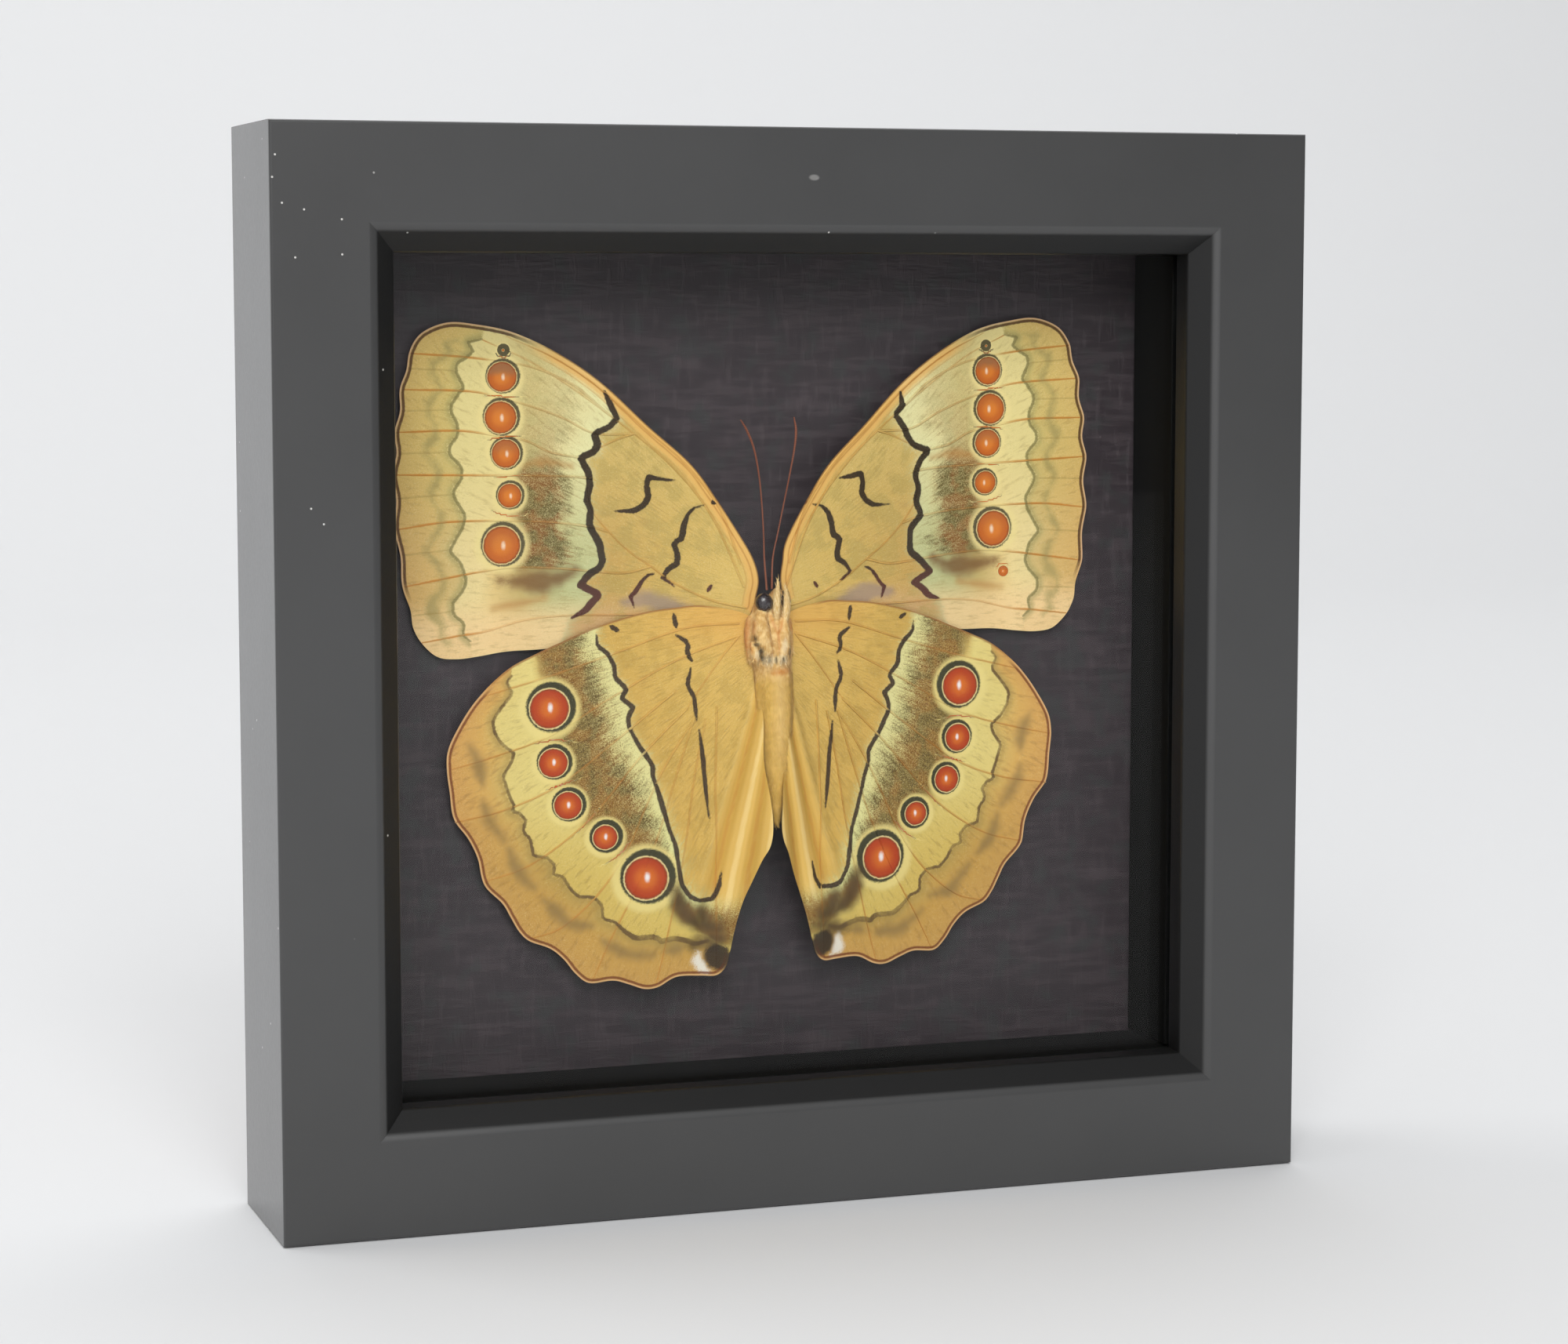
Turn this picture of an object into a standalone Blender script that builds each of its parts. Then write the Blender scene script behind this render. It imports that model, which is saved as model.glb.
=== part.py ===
# A deep square box frame holding one set butterfly, shown from its underside.
# Metres, Z up. The origin is the middle of the footprint, the glass looks along -Y.
import math

import bmesh
import bpy
from mathutils import Matrix, Vector

for old in list(bpy.data.objects):
    bpy.data.objects.remove(old, do_unlink=True)

MM = 0.001

# The box frame, outside sizes
SIDE = 180 * MM
DEPTH = 34 * MM
FRONT = -DEPTH / 2

# The rail's section, inward from its outer face and back from its front face
FACE_WIDTH = 16.6 * MM
LIP_INSET = 4.0 * MM
LIP_SLOPE = 3.6 * MM
LIP_BACK = 7.6 * MM
WALL = 13.6 * MM
FRONT_ROUND = 0.5 * MM
MOUTH_ROUND = 0.7 * MM
BACK_ROUND = 3.0 * MM
GAP = 0.3 * MM

# What is stacked in the rebate, from the glass back
GLASS_THICK = 2.0 * MM
CARD_FRONT = 26.4 * MM
CARD_THICK = 1.5 * MM
PAD_WIDE = 7.0 * MM
PAD_TALL = 12.0 * MM
PAD_THICK = 3.0 * MM
BACK_THICK = 3.0 * MM
SPACER_THICK = 6.3 * MM
POINT_THICK = 0.5 * MM
POINT_WIDE = 9.0 * MM
POINT_REACH = 12.0 * MM
POINT_AT = 40.0 * MM

REBATE = SIDE - 2 * WALL
MIDDLE = SIDE / 2

# The butterfly: its axis leans a little, and it lies close in front of the card
AXIS_AT = Vector((-1.4 * MM, 0, 95 * MM))
LEAN = math.radians(0.85)
LEFT_SIZE = 1.01
RIGHT_SIZE = 0.99
WING_THICK = 0.5 * MM
FOREWING_BACK = 24.9 * MM
HINDWING_BACK = 24.0 * MM


def material(name, colour, rough, metal=0.0, clear=0.0):
    made = bpy.data.materials.new(name)
    made.use_nodes = True
    shader = made.node_tree.nodes["Principled BSDF"]
    shader.inputs["Base Color"].default_value = (*colour, 1)
    shader.inputs["Roughness"].default_value = rough
    shader.inputs["Metallic"].default_value = metal
    shader.inputs["Transmission Weight"].default_value = clear
    return made


PAINT = material("black_paint", (0.045, 0.043, 0.044), 0.42)
GLASS = material("glass", (0.96, 0.98, 0.97), 0.03, clear=1.0)
CARD = material("black_card", (0.03, 0.026, 0.028), 0.85)
BOARD = material("brown_board", (0.24, 0.15, 0.08), 0.8)
STEEL = material("steel", (0.55, 0.55, 0.56), 0.35, metal=1.0)
WING = material("wing", (0.60, 0.42, 0.16), 0.75)
BODY = material("insect_body", (0.58, 0.40, 0.19), 0.85)
ANTENNA = material("antenna", (0.16, 0.06, 0.03), 0.5)


def new_object(name, bm, mat, smooth=False):
    bmesh.ops.recalc_face_normals(bm, faces=bm.faces)
    mesh = bpy.data.meshes.new(name)
    bm.to_mesh(mesh)
    bm.free()
    made = bpy.data.objects.new(name, mesh)
    mesh.materials.append(mat)
    bpy.context.collection.objects.link(made)
    for face in mesh.polygons:
        face.use_smooth = smooth
    return made


def arc(centre, radius, start, end, steps):
    """Points of a round, as (inward, back), from start to end degrees."""
    found = []
    for i in range(steps + 1):
        turn = math.radians(start + (end - start) * i / steps)
        found.append((centre[0] + radius * math.cos(turn), centre[1] + radius * math.sin(turn)))
    return found


def rail_section():
    """The rail's outline, as (inward from the outer face, back from the front)."""
    lip = FACE_WIDTH + LIP_INSET
    line = arc((FRONT_ROUND, FRONT_ROUND), FRONT_ROUND, 180, 270, 3)
    line += arc((FACE_WIDTH - MOUTH_ROUND / 2, MOUTH_ROUND), MOUTH_ROUND, 270, 312, 3)
    line += [(lip, LIP_SLOPE), (lip, LIP_BACK), (WALL, LIP_BACK), (WALL, DEPTH)]
    line += arc((BACK_ROUND, DEPTH - BACK_ROUND), BACK_ROUND, 90, 180, 5)
    return line


def rail(name, turn):
    """One mitred side of the frame. It is made as the bottom rail and turned into place."""
    bm = bmesh.new()
    ends = []
    for side in (-1, 1):
        ring = []
        for inward, back in rail_section():
            reach = MIDDLE - inward - GAP / 2
            ring.append(bm.verts.new((side * reach, FRONT + back, inward - MIDDLE)))
        ends.append(ring)
    count = len(ends[0])
    for i in range(count):
        j = (i + 1) % count
        bm.faces.new((ends[0][i], ends[0][j], ends[1][j], ends[1][i]))
    bm.faces.new(ends[0])
    bm.faces.new(ends[1])
    bmesh.ops.rotate(bm, verts=bm.verts, cent=(0, 0, 0), matrix=Matrix.Rotation(turn, 3, "Y"))
    made = new_object(name, bm, PAINT)
    made.location = (0, 0, MIDDLE)
    return made


def slab(name, mat, wide, tall, front, thick, centre=(0, MIDDLE)):
    """A flat piece that faces forward, its front a given way behind the frame's front."""
    bm = bmesh.new()
    bmesh.ops.create_cube(bm, size=1)
    bmesh.ops.scale(bm, verts=bm.verts, vec=(wide, thick, tall))
    made = new_object(name, bm, mat)
    made.location = (centre[0], FRONT + front + thick / 2, centre[1])
    return made


for rail_name, quarter in (("rail_bottom", 0), ("rail_left", 1), ("rail_top", 2), ("rail_right", 3)):
    rail(rail_name, quarter * math.pi / 2)

# The glass lies against the back of the lip, and four spacers hold the card off it
inside = REBATE - 2 * GAP
glass_front = LIP_BACK + GAP
slab("glass_pane", GLASS, inside, inside, glass_front, GLASS_THICK)
spacer_front = glass_front + GLASS_THICK + GAP
spacer_deep = CARD_FRONT - GAP - spacer_front
spacer_off = inside / 2 - SPACER_THICK / 2
for spacer, way in (("spacer_top", 1), ("spacer_bottom", -1)):
    slab(spacer, CARD, inside, SPACER_THICK, spacer_front, spacer_deep, (0, MIDDLE + way * spacer_off))
short = inside - 2 * SPACER_THICK - 2 * GAP
for spacer, way in (("spacer_left", -1), ("spacer_right", 1)):
    slab(spacer, CARD, SPACER_THICK, short, spacer_front, spacer_deep, (way * spacer_off, MIDDLE))
slab("backing_card", CARD, inside, inside, CARD_FRONT, CARD_THICK)
back_front = CARD_FRONT + CARD_THICK + GAP
slab("back_panel", BOARD, inside, inside, back_front, BACK_THICK)

# A small pad behind the wing roots holds the specimen off the card
pad_at = (AXIS_AT.x, AXIS_AT.z)
slab("mount_pad", CARD, PAD_WIDE, PAD_TALL, CARD_FRONT - GAP - PAD_THICK, PAD_THICK, pad_at)

# Thin steel points, pushed into the rails, keep the back panel in
point_front = back_front + BACK_THICK + GAP


def glazing_point(name, turn, along):
    """A pointed steel tab lying on the panel, its square end at the rebate's wall."""
    bm = bmesh.new()
    outline = (
        (along - POINT_WIDE / 2, GAP - REBATE / 2),
        (along + POINT_WIDE / 2, GAP - REBATE / 2),
        (along + POINT_WIDE / 2, POINT_REACH * 0.45 - REBATE / 2),
        (along, POINT_REACH - REBATE / 2),
        (along - POINT_WIDE / 2, POINT_REACH * 0.45 - REBATE / 2),
    )
    face = bm.faces.new([bm.verts.new((x, 0, z)) for x, z in outline])
    pushed = bmesh.ops.extrude_face_region(bm, geom=[face])["geom"]
    bmesh.ops.translate(bm, verts=[v for v in pushed if isinstance(v, bmesh.types.BMVert)], vec=(0, POINT_THICK, 0))
    bmesh.ops.rotate(bm, verts=bm.verts, cent=(0, 0, 0), matrix=Matrix.Rotation(turn, 3, "Y"))
    made = new_object(name, bm, STEEL)
    made.location = (0, FRONT + point_front, MIDDLE)
    return made


for point_side, quarter in (("bottom", 0), ("left", 1), ("top", 2), ("right", 3)):
    glazing_point(f"glazing_point_{point_side}_1", quarter * math.pi / 2, -POINT_AT)
    glazing_point(f"glazing_point_{point_side}_2", quarter * math.pi / 2, POINT_AT)

# The wings. Outlines run from the body outward, in millimetres from the thorax's middle,
# across and up, for the left-hand side of the picture with across counted away from the axis.
FOREWING = (
    (4.8, 6.0), (3.6, 8.8), (3.6, 12.0), (4.8, 16.0), (8.2, 23.0), (12.5, 29.0), (19.3, 35.3), (27.0, 42.7),
    (34.2, 47.8), (41.8, 51.5), (48.5, 53.0), (53.0, 53.3), (57.0, 51.6), (59.4, 48.6), (60.6, 44.8),
    (61.4, 41.0), (61.8, 36.5), (62.3, 33.0), (62.4, 27.5), (62.4, 22.0), (62.1, 15.5), (61.3, 9.5),
    (59.9, 4.3), (58.6, 0.6), (55.8, -1.9), (52.5, -2.4), (48.8, -2.1), (44.0, -1.5), (37.5, -1.3),
    (28.0, -0.5), (14.0, 1.0), (6.0, 2.0),
)
HINDWING = (
    (5.0, 3.2), (10.5, 5.1), (16.0, 4.9), (21.5, 4.2), (29.0, 2.2), (35.5, -0.4), (39.5, -2.1), (43.5, -4.0),
    (47.0, -6.7), (50.0, -9.8), (52.6, -13.5), (54.6, -17.3), (55.0, -20.5), (54.6, -24.5), (54.0, -29.0),
    (51.6, -32.5), (50.0, -36.0), (49.0, -40.5), (46.0, -43.8), (44.6, -46.3), (43.2, -48.8), (41.5, -50.5),
    (38.0, -52.0), (35.7, -54.0), (33.8, -56.5), (31.5, -58.2), (27.5, -58.0), (24.8, -58.8), (22.0, -59.8),
    (19.6, -59.5), (16.5, -58.0), (12.5, -58.0), (9.8, -58.0), (8.2, -56.5), (7.5, -54.0), (6.5, -49.8),
    (5.2, -45.6), (3.8, -42.0), (2.4, -38.0), (1.2, -34.5), (0.7, -31.5), (0.8, -27.0), (1.3, -20.0),
    (2.2, -12.0), (3.4, -6.0), (5.0, -2.0),
)
# The wings are set in a shallow V: highest at the body, down to the card at the tips
WING_RISE = 5.5
RISE_REACH = 45.0
FOLD_RISE = 3.2
FOLD_WIDE = 5.0
WING_ROWS = (0.0, 0.14, 0.3, 0.5, 0.7, 0.86, 1.0)


def place(across, up, side, size):
    """A wing point in the frame: mirrored, sized, leant with the axis and moved on to it."""
    point = Vector((side * across * MM * size, 0, up * MM * size))
    point.rotate(Matrix.Rotation(-LEAN, 3, "Y"))
    return point + AXIS_AT


def rise(across, up, folded):
    """How far forward of the wing tips the wing stands, in millimetres."""
    height = WING_RISE * max(0.0, 1 - across / RISE_REACH) ** 1.2
    if folded:
        begun = min(1.0, max(0.0, (-up - 4.0) / 10.0))
        height += FOLD_RISE * begun * math.exp(-((across / FOLD_WIDE) ** 2))
    return height


def wing(name, outline, side, size, back, root, folded):
    """A thin closed plate, in rows from its root out to its outline."""
    bm = bmesh.new()
    layers = []
    for forward in (0.0, WING_THICK):
        rows = []
        for share in WING_ROWS:
            row = []
            for across, up in outline:
                a = root[0] + share * (across - root[0])
                u = root[1] + share * (up - root[1])
                at = place(a, u, side, size)
                row.append(bm.verts.new((at.x, FRONT + back - rise(a, u, folded) * MM - forward, at.z)))
                if share == 0.0:
                    break
            rows.append(row)
        layers.append(rows)
    count = len(outline)
    for rows in layers:
        for i in range(count):
            j = (i + 1) % count
            bm.faces.new((rows[0][0], rows[1][i], rows[1][j]))
            for low, high in zip(rows[1:], rows[2:]):
                bm.faces.new((low[i], low[j], high[j]))
                bm.faces.new((low[i], high[j], high[i]))
    rims = (layers[0][-1], layers[1][-1])
    for i in range(count):
        j = (i + 1) % count
        bm.faces.new((rims[0][i], rims[0][j], rims[1][j], rims[1][i]))
    return new_object(name, bm, WING)


FOREWING_ROOT = (14.0, 10.0)
HINDWING_ROOT = (14.0, -12.0)
for wing_side, sign, wing_size in (("left", -1, LEFT_SIZE), ("right", 1, RIGHT_SIZE)):
    wing(f"forewing_{wing_side}", FOREWING, sign, wing_size, FOREWING_BACK, FOREWING_ROOT, False)
    wing(f"hindwing_{wing_side}", HINDWING, sign, wing_size, HINDWING_BACK, HINDWING_ROOT, True)

# The body, in front of the wing roots: height up the axis, half width, centre depth, half depth, in mm
BODY_ROUNDS = (
    (-30.0, 0.4, 20.2, 0.4), (-28.0, 1.0, 20.1, 1.0), (-22.0, 1.6, 19.8, 1.6), (-13.0, 2.0, 19.4, 2.0),
    (-7.0, 2.2, 19.2, 2.2), (-4.5, 2.9, 19.0, 2.9), (-1.0, 4.1, 18.8, 3.8), (3.0, 4.3, 18.8, 4.0),
    (5.6, 3.2, 18.8, 3.3), (6.9, 2.4, 18.9, 2.4), (8.4, 2.7, 18.7, 2.6), (9.8, 2.3, 18.5, 2.2),
    (11.4, 1.3, 18.0, 1.3), (12.4, 0.5, 17.8, 0.5),
)
BODY_STEPS = 20
body = bmesh.new()
rings = []
for up, half_wide, deep, half_deep in BODY_ROUNDS:
    ring = []
    for i in range(BODY_STEPS):
        turn = math.tau * i / BODY_STEPS
        point = place(half_wide * math.cos(turn), up, 1, 1)
        ring.append(body.verts.new((point.x, FRONT + (deep + half_deep * math.sin(turn)) * MM, point.z)))
    rings.append(ring)
for low, high in zip(rings, rings[1:]):
    for i in range(BODY_STEPS):
        j = (i + 1) % BODY_STEPS
        body.faces.new((low[i], low[j], high[j], high[i]))
body.faces.new(rings[0])
body.faces.new(rings[-1])
new_object("body", body, BODY, smooth=True)

# The antennae: bent bristles with a slightly thicker end, across, up and depth in mm, then radius
ANTENNA_LINES = {
    "antenna_left": (
        (-0.6, 12.9, 18.2, 0.22), (-0.6, 17.0, 18.4, 0.20), (-0.7, 22.0, 18.8, 0.20), (-1.0, 27.0, 19.2, 0.22),
        (-1.7, 31.6, 19.6, 0.28), (-2.9, 34.9, 19.9, 0.34), (-3.9, 36.6, 20.0, 0.20),
    ),
    "antenna_right": (
        (0.9, 12.9, 18.2, 0.22), (1.9, 17.0, 18.4, 0.20), (3.2, 22.0, 18.8, 0.20), (4.5, 27.0, 19.2, 0.22),
        (5.6, 31.6, 19.6, 0.28), (6.0, 34.6, 19.9, 0.34), (5.7, 36.8, 20.0, 0.20),
    ),
}
ANTENNA_STEPS = 8
for antenna_name, line in ANTENNA_LINES.items():
    bm = bmesh.new()
    rings = []
    for across, up, deep, radius in line:
        middle = place(across, up, 1, 1)
        ring = []
        for i in range(ANTENNA_STEPS):
            turn = math.tau * i / ANTENNA_STEPS
            ring.append(
                bm.verts.new(
                    (
                        middle.x + radius * MM * math.cos(turn),
                        FRONT + (deep + radius * math.sin(turn)) * MM,
                        middle.z,
                    )
                )
            )
        rings.append(ring)
    for low, high in zip(rings, rings[1:]):
        for i in range(ANTENNA_STEPS):
            j = (i + 1) % ANTENNA_STEPS
            bm.faces.new((low[i], low[j], high[j], high[i]))
    bm.faces.new(rings[0])
    bm.faces.new(rings[-1])
    new_object(antenna_name, bm, ANTENNA, smooth=True)
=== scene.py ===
import math

import bmesh
import bpy
import numpy as np
from mathutils import Matrix, Vector
from mathutils.geometry import delaunay_2d_cdt


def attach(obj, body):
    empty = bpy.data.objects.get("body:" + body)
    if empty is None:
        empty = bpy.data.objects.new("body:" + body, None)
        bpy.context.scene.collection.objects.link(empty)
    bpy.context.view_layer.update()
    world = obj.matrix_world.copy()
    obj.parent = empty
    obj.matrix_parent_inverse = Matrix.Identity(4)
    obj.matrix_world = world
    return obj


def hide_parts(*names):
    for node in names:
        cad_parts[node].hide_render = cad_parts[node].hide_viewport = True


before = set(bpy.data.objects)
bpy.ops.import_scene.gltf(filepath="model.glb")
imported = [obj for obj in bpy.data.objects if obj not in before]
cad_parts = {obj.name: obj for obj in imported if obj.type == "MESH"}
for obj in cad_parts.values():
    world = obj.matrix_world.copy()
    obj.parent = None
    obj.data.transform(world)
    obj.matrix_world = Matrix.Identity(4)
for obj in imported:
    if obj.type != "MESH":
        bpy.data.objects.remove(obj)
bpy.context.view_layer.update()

MM = 0.001

# ---------------------------------------------------------------------------
# The four rails: softwood with a sloped inner lip and a rebate behind it,
# mitred, glued and then sprayed satin black as one frame, so the paint fills
# the joints on the face. The lip's slope is left with a crease at each corner.
SIDE, DEPTH = 180 * MM, 34 * MM
FRONT, MIDDLE = -DEPTH / 2, SIDE / 2
FACE, LIP_IN, LIP_SLOPE, LIP_BACK, WALL = 16.6 * MM, 4.0 * MM, 3.6 * MM, 7.6 * MM, 13.6 * MM


class Wire:
    """A number, colour or vector that runs through a finish's nodes."""

    def __init__(self, finish, socket):
        self.finish, self.socket = finish, socket

    def sum(self, how, *others):
        terms = dict(enumerate((self, *others)))
        return self.finish.node("ShaderNodeMath", {"operation": how}, terms)

    def __add__(self, other):
        return self.sum("ADD", other)

    def __sub__(self, other):
        return self.sum("SUBTRACT", other)

    def __rsub__(self, other):
        return (self * -1) + other

    def __mul__(self, other):
        return self.sum("MULTIPLY", other)

    def __truediv__(self, other):
        return self.sum("DIVIDE", other)

    __radd__, __rmul__ = __add__, __mul__

    def size(self):
        return self.sum("ABSOLUTE")

    def most(self, other):
        return self.sum("MAXIMUM", other)

    def rise(self, low, high):
        """0 below low, 1 above high, eased between them."""
        return self.finish.node(
            "ShaderNodeMapRange",
            {"interpolation_type": "SMOOTHSTEP"},
            {"Value": self, "From Min": low, "From Max": high},
        )

    def fall(self, low, high):
        return 1 - self.rise(low, high)

    def between(self, low, high, soft):
        return self.rise(low - soft, low + soft) * self.fall(high - soft, high + soft)

    def under(self, paint, share):
        """This colour with another laid over it, by a share."""
        return self.finish.mix(self, paint, share)


class Finish:
    """A material put together from nodes, on one Principled shader."""

    def __init__(self, name, rough=0.5, **plain):
        self.material = bpy.data.materials.new(name)
        self.material.use_nodes = True
        self.tree = self.material.node_tree
        self.shader = self.tree.nodes["Principled BSDF"]
        self.shader.inputs["Roughness"].default_value = rough
        for socket, value in plain.items():
            self.shader.inputs[socket.replace("_", " ")].default_value = value

    def node(self, kind, settings=None, sockets=None, out=0):
        made = self.tree.nodes.new(kind)
        for key, value in (settings or {}).items():
            if key == "stops":
                band = made.color_ramp
                while len(band.elements) < len(value):
                    band.elements.new(0.5)
                for stop, (at, colour) in zip(band.elements, value):
                    stop.position, stop.color = at, (*colour, 1)
            else:
                setattr(made, key, value)
        for key, value in (sockets or {}).items():
            if isinstance(value, Wire):
                self.tree.links.new(value.socket, made.inputs[key])
            else:
                made.inputs[key].default_value = value
        return Wire(self, made.outputs[out])

    def place(self):
        return self.node("ShaderNodeTexCoord", out=3)

    def stretched(self, across, along, up):
        scale = {"Vector": self.place(), "Scale": (across, along, up)}
        return self.node("ShaderNodeMapping", None, scale)

    def noise(self, grain, detail=3.0, where=None):
        """Even noise whose lumps are about grain across, in metres."""
        sockets = {"Vector": where or self.place(), "Scale": 1 / grain, "Detail": detail}
        return self.node("ShaderNodeTexNoise", None, sockets)

    def held(self, name):
        """A value kept on the mesh's points under this name."""
        return self.node("ShaderNodeAttribute", {"attribute_name": name}, out=2)

    def mix(self, first, second, share):
        sockets = {0: share, 6: first, 7: second}
        return self.node("ShaderNodeMix", {"data_type": "RGBA"}, sockets, out=2)

    def feed(self, **values):
        for name, value in values.items():
            self.tree.links.new(value.socket, self.shader.inputs[name.replace("_", " ")])

    def bump(self, height, strength, distance):
        sockets = {"Height": height, "Strength": strength, "Distance": distance}
        self.feed(Normal=self.node("ShaderNodeBump", None, sockets))


def apart(x, y):
    """How far from nothing a pair of values is."""
    return (x * x + y * y).sum("POWER", 0.5)


def tone(red, green, blue):
    """A colour given as it looks on a paint card, 0 to 255, as the shader wants it."""
    return tuple(((c / 255 + 0.055) / 1.055) ** 2.4 if c > 10 else c / 3294.6 for c in (red, green, blue)) + (1,)


def begin(name, add, **how):
    """Add a primitive on its own and name it."""
    bpy.ops.object.select_all(action="DESELECT")
    add(**how)
    piece = bpy.context.object
    piece.name = piece.data.name = name
    return piece


def pick(piece, kind, wanted):
    """In edit mode, leave selected only the edges or faces that pass."""
    bpy.ops.mesh.select_mode(type="EDGE" if kind == "edges" else "FACE")
    bpy.ops.mesh.select_all(action="DESELECT")
    bm = bmesh.from_edit_mesh(piece.data)
    bm.normal_update()
    for part in getattr(bm, kind):
        if wanted(part):
            part.select_set(True)
    bm.select_flush_mode()
    bmesh.update_edit_mesh(piece.data)


def both_ends(edge, test):
    return all(test(v.co) for v in edge.verts)


def ease_shading(piece, degrees):
    """Smooth the rounds and keep the flats truly flat."""
    bpy.ops.object.shade_smooth_by_angle(angle=math.radians(degrees))
    flats = piece.modifiers.new("flats", "WEIGHTED_NORMAL")
    flats.keep_sharp = True
    bpy.ops.object.modifier_apply(modifier="flats")


def near(value, wanted):
    return abs(value - wanted) < 1e-5


def out_of_middle(point):
    """How far a point is from the frame's middle line, square-wise."""
    return max(abs(point.x), abs(point.z))


paint = Finish("satin_black_paint", rough=0.32, Specular_IOR_Level=0.42, Coat_Roughness=0.2)
cloud = paint.noise(0.03, 4)
peel = paint.noise(0.0007, 3)
grain = paint.noise(0.001, 4, paint.stretched(0.12, 1, 1))
cells = {"Vector": paint.place(), "Scale": 260.0}
specks = paint.node("ShaderNodeTexVoronoi", None, cells)
speck_kind = paint.node("ShaderNodeTexVoronoi", None, cells, 1)
lint = specks.fall(0.035, 0.06) * speck_kind.sum("MULTIPLY", 1.0).rise(0.66, 0.7)
dark = paint.mix(tone(50, 50, 50), tone(58, 58, 58), cloud)
# the lip and its slope have no clear coat, and their colour is painted darker than the face as painted shade, for the
# shade inside the opening
place = {"Vector": paint.place()}
where = paint.node("ShaderNodeSeparateXYZ", None, place)
deep = paint.node("ShaderNodeSeparateXYZ", None, place, 1) - FRONT
level = paint.node("ShaderNodeSeparateXYZ", None, place, 2) - MIDDLE
in_lip = where.size().most(level.size()).fall(MIDDLE - FACE - 0.9 * MM, MIDDLE - FACE - 0.3 * MM)
dark = dark.under(tone(16, 16, 16), in_lip * deep.rise(0.1 * MM, 0.8 * MM))
# a few specks of dust on the left rail's face, and a nick in the top one's
facing = deep.fall(0.1 * MM, 0.4 * MM)
for across, up in (
    (-89, 174.5), (-89.5, 171), (-88, 167), (-84.5, 166), (-78.5, 164.5), (-86, 158.5), (-78.5, 159),
    (-84, 119), (-82, 116.5),
):
    gap = apart(where - across * MM, level - (up * MM - MIDDLE))
    lint = lint.most(gap.fall(0.1 * MM, 0.22 * MM) * facing)
off, over = where - 0.3 * MM, level - 81.8 * MM
nick = (off * off * 0.3 + over * over).sum("POWER", 0.5).fall(0.3 * MM, 0.6 * MM) * facing
paint.feed(
    Base_Color=paint.mix(dark, tone(196, 194, 190), lint.most(nick * 0.25)),
    Roughness=0.3 + cloud * 0.1 + peel * 0.06,
    Coat_Weight=0.5 - in_lip * 0.5,
)
paint.bump(peel * 0.5 + grain * 0.35 + lint * 1.5 - nick * 3.0, 0.22, 0.00012)

rail = begin("rail_bottom_painted", bpy.ops.mesh.primitive_cube_add, size=1)
rail.scale = (SIDE, DEPTH, SIDE)
bpy.ops.object.transform_apply(location=False, rotation=False, scale=True)
bpy.ops.object.mode_set(mode="EDIT")
pick(rail, "faces", lambda f: f.normal.y < -0.9)
bpy.ops.mesh.inset(thickness=FACE, depth=0)
bpy.ops.mesh.inset(thickness=LIP_IN, depth=-LIP_SLOPE)
bpy.ops.mesh.extrude_region_move(TRANSFORM_OT_translate={"value": (0, LIP_BACK - LIP_SLOPE, 0)})
bpy.ops.mesh.delete(type="FACE")
pick(rail, "faces", lambda f: f.normal.y > 0.9 and near(f.calc_center_median().y, DEPTH / 2))
bpy.ops.mesh.inset(thickness=WALL, depth=0)
bpy.ops.mesh.extrude_region_move(TRANSFORM_OT_translate={"value": (0, LIP_BACK - DEPTH, 0)})
bpy.ops.mesh.delete(type="FACE")
pick(rail, "edges", lambda e: e.is_boundary)
bpy.ops.mesh.bridge_edge_loops()
# the worn round of each long edge: outer back, mouth of the lip, outer front, and the lip's inner edge
for at, deep, radius, steps in (
    (MIDDLE, DEPTH / 2, 3.0 * MM, 6),
    (MIDDLE - FACE, FRONT, 0.8 * MM, 5),
    (MIDDLE, FRONT, 0.45 * MM, 4),
    (MIDDLE - FACE - LIP_IN, FRONT + LIP_SLOPE, 0.35 * MM, 3),
):
    pick(
        rail,
        "edges",
        lambda e: both_ends(e, lambda p: near(out_of_middle(p), at) and near(p.y, deep)),
    )
    bpy.ops.mesh.bevel(offset=radius, segments=steps, profile=0.5)
for lean in (1, -1):
    bpy.ops.mesh.select_all(action="SELECT")
    bpy.ops.mesh.bisect(plane_co=(0, 0, 0), plane_no=(lean, 0, 1), use_fill=True, clear_outer=True)
bpy.ops.mesh.select_all(action="SELECT")
bpy.ops.mesh.normals_make_consistent(inside=False)
bpy.ops.object.mode_set(mode="OBJECT")
ease_shading(rail, 40)
rail.data.materials.append(paint.material)
for turned, (rail_name, node) in enumerate(
    (
        ("rail_left_painted", "rail_left"),
        ("rail_top_painted", "rail_top"),
        ("rail_right_painted", "rail_right"),
    ),
    start=1,
):
    copy = bpy.data.objects.new(rail_name, rail.data.copy())
    bpy.context.collection.objects.link(copy)
    copy.data.name = rail_name
    copy.data.transform(Matrix.Translation((0, 0, MIDDLE)) @ Matrix.Rotation(turned * math.pi / 2, 4, "Y"))
    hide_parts(node)
    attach(copy, "root")
rail.data.transform(Matrix.Translation((0, 0, MIDDLE)))
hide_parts("rail_bottom")
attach(rail, "root")

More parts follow.
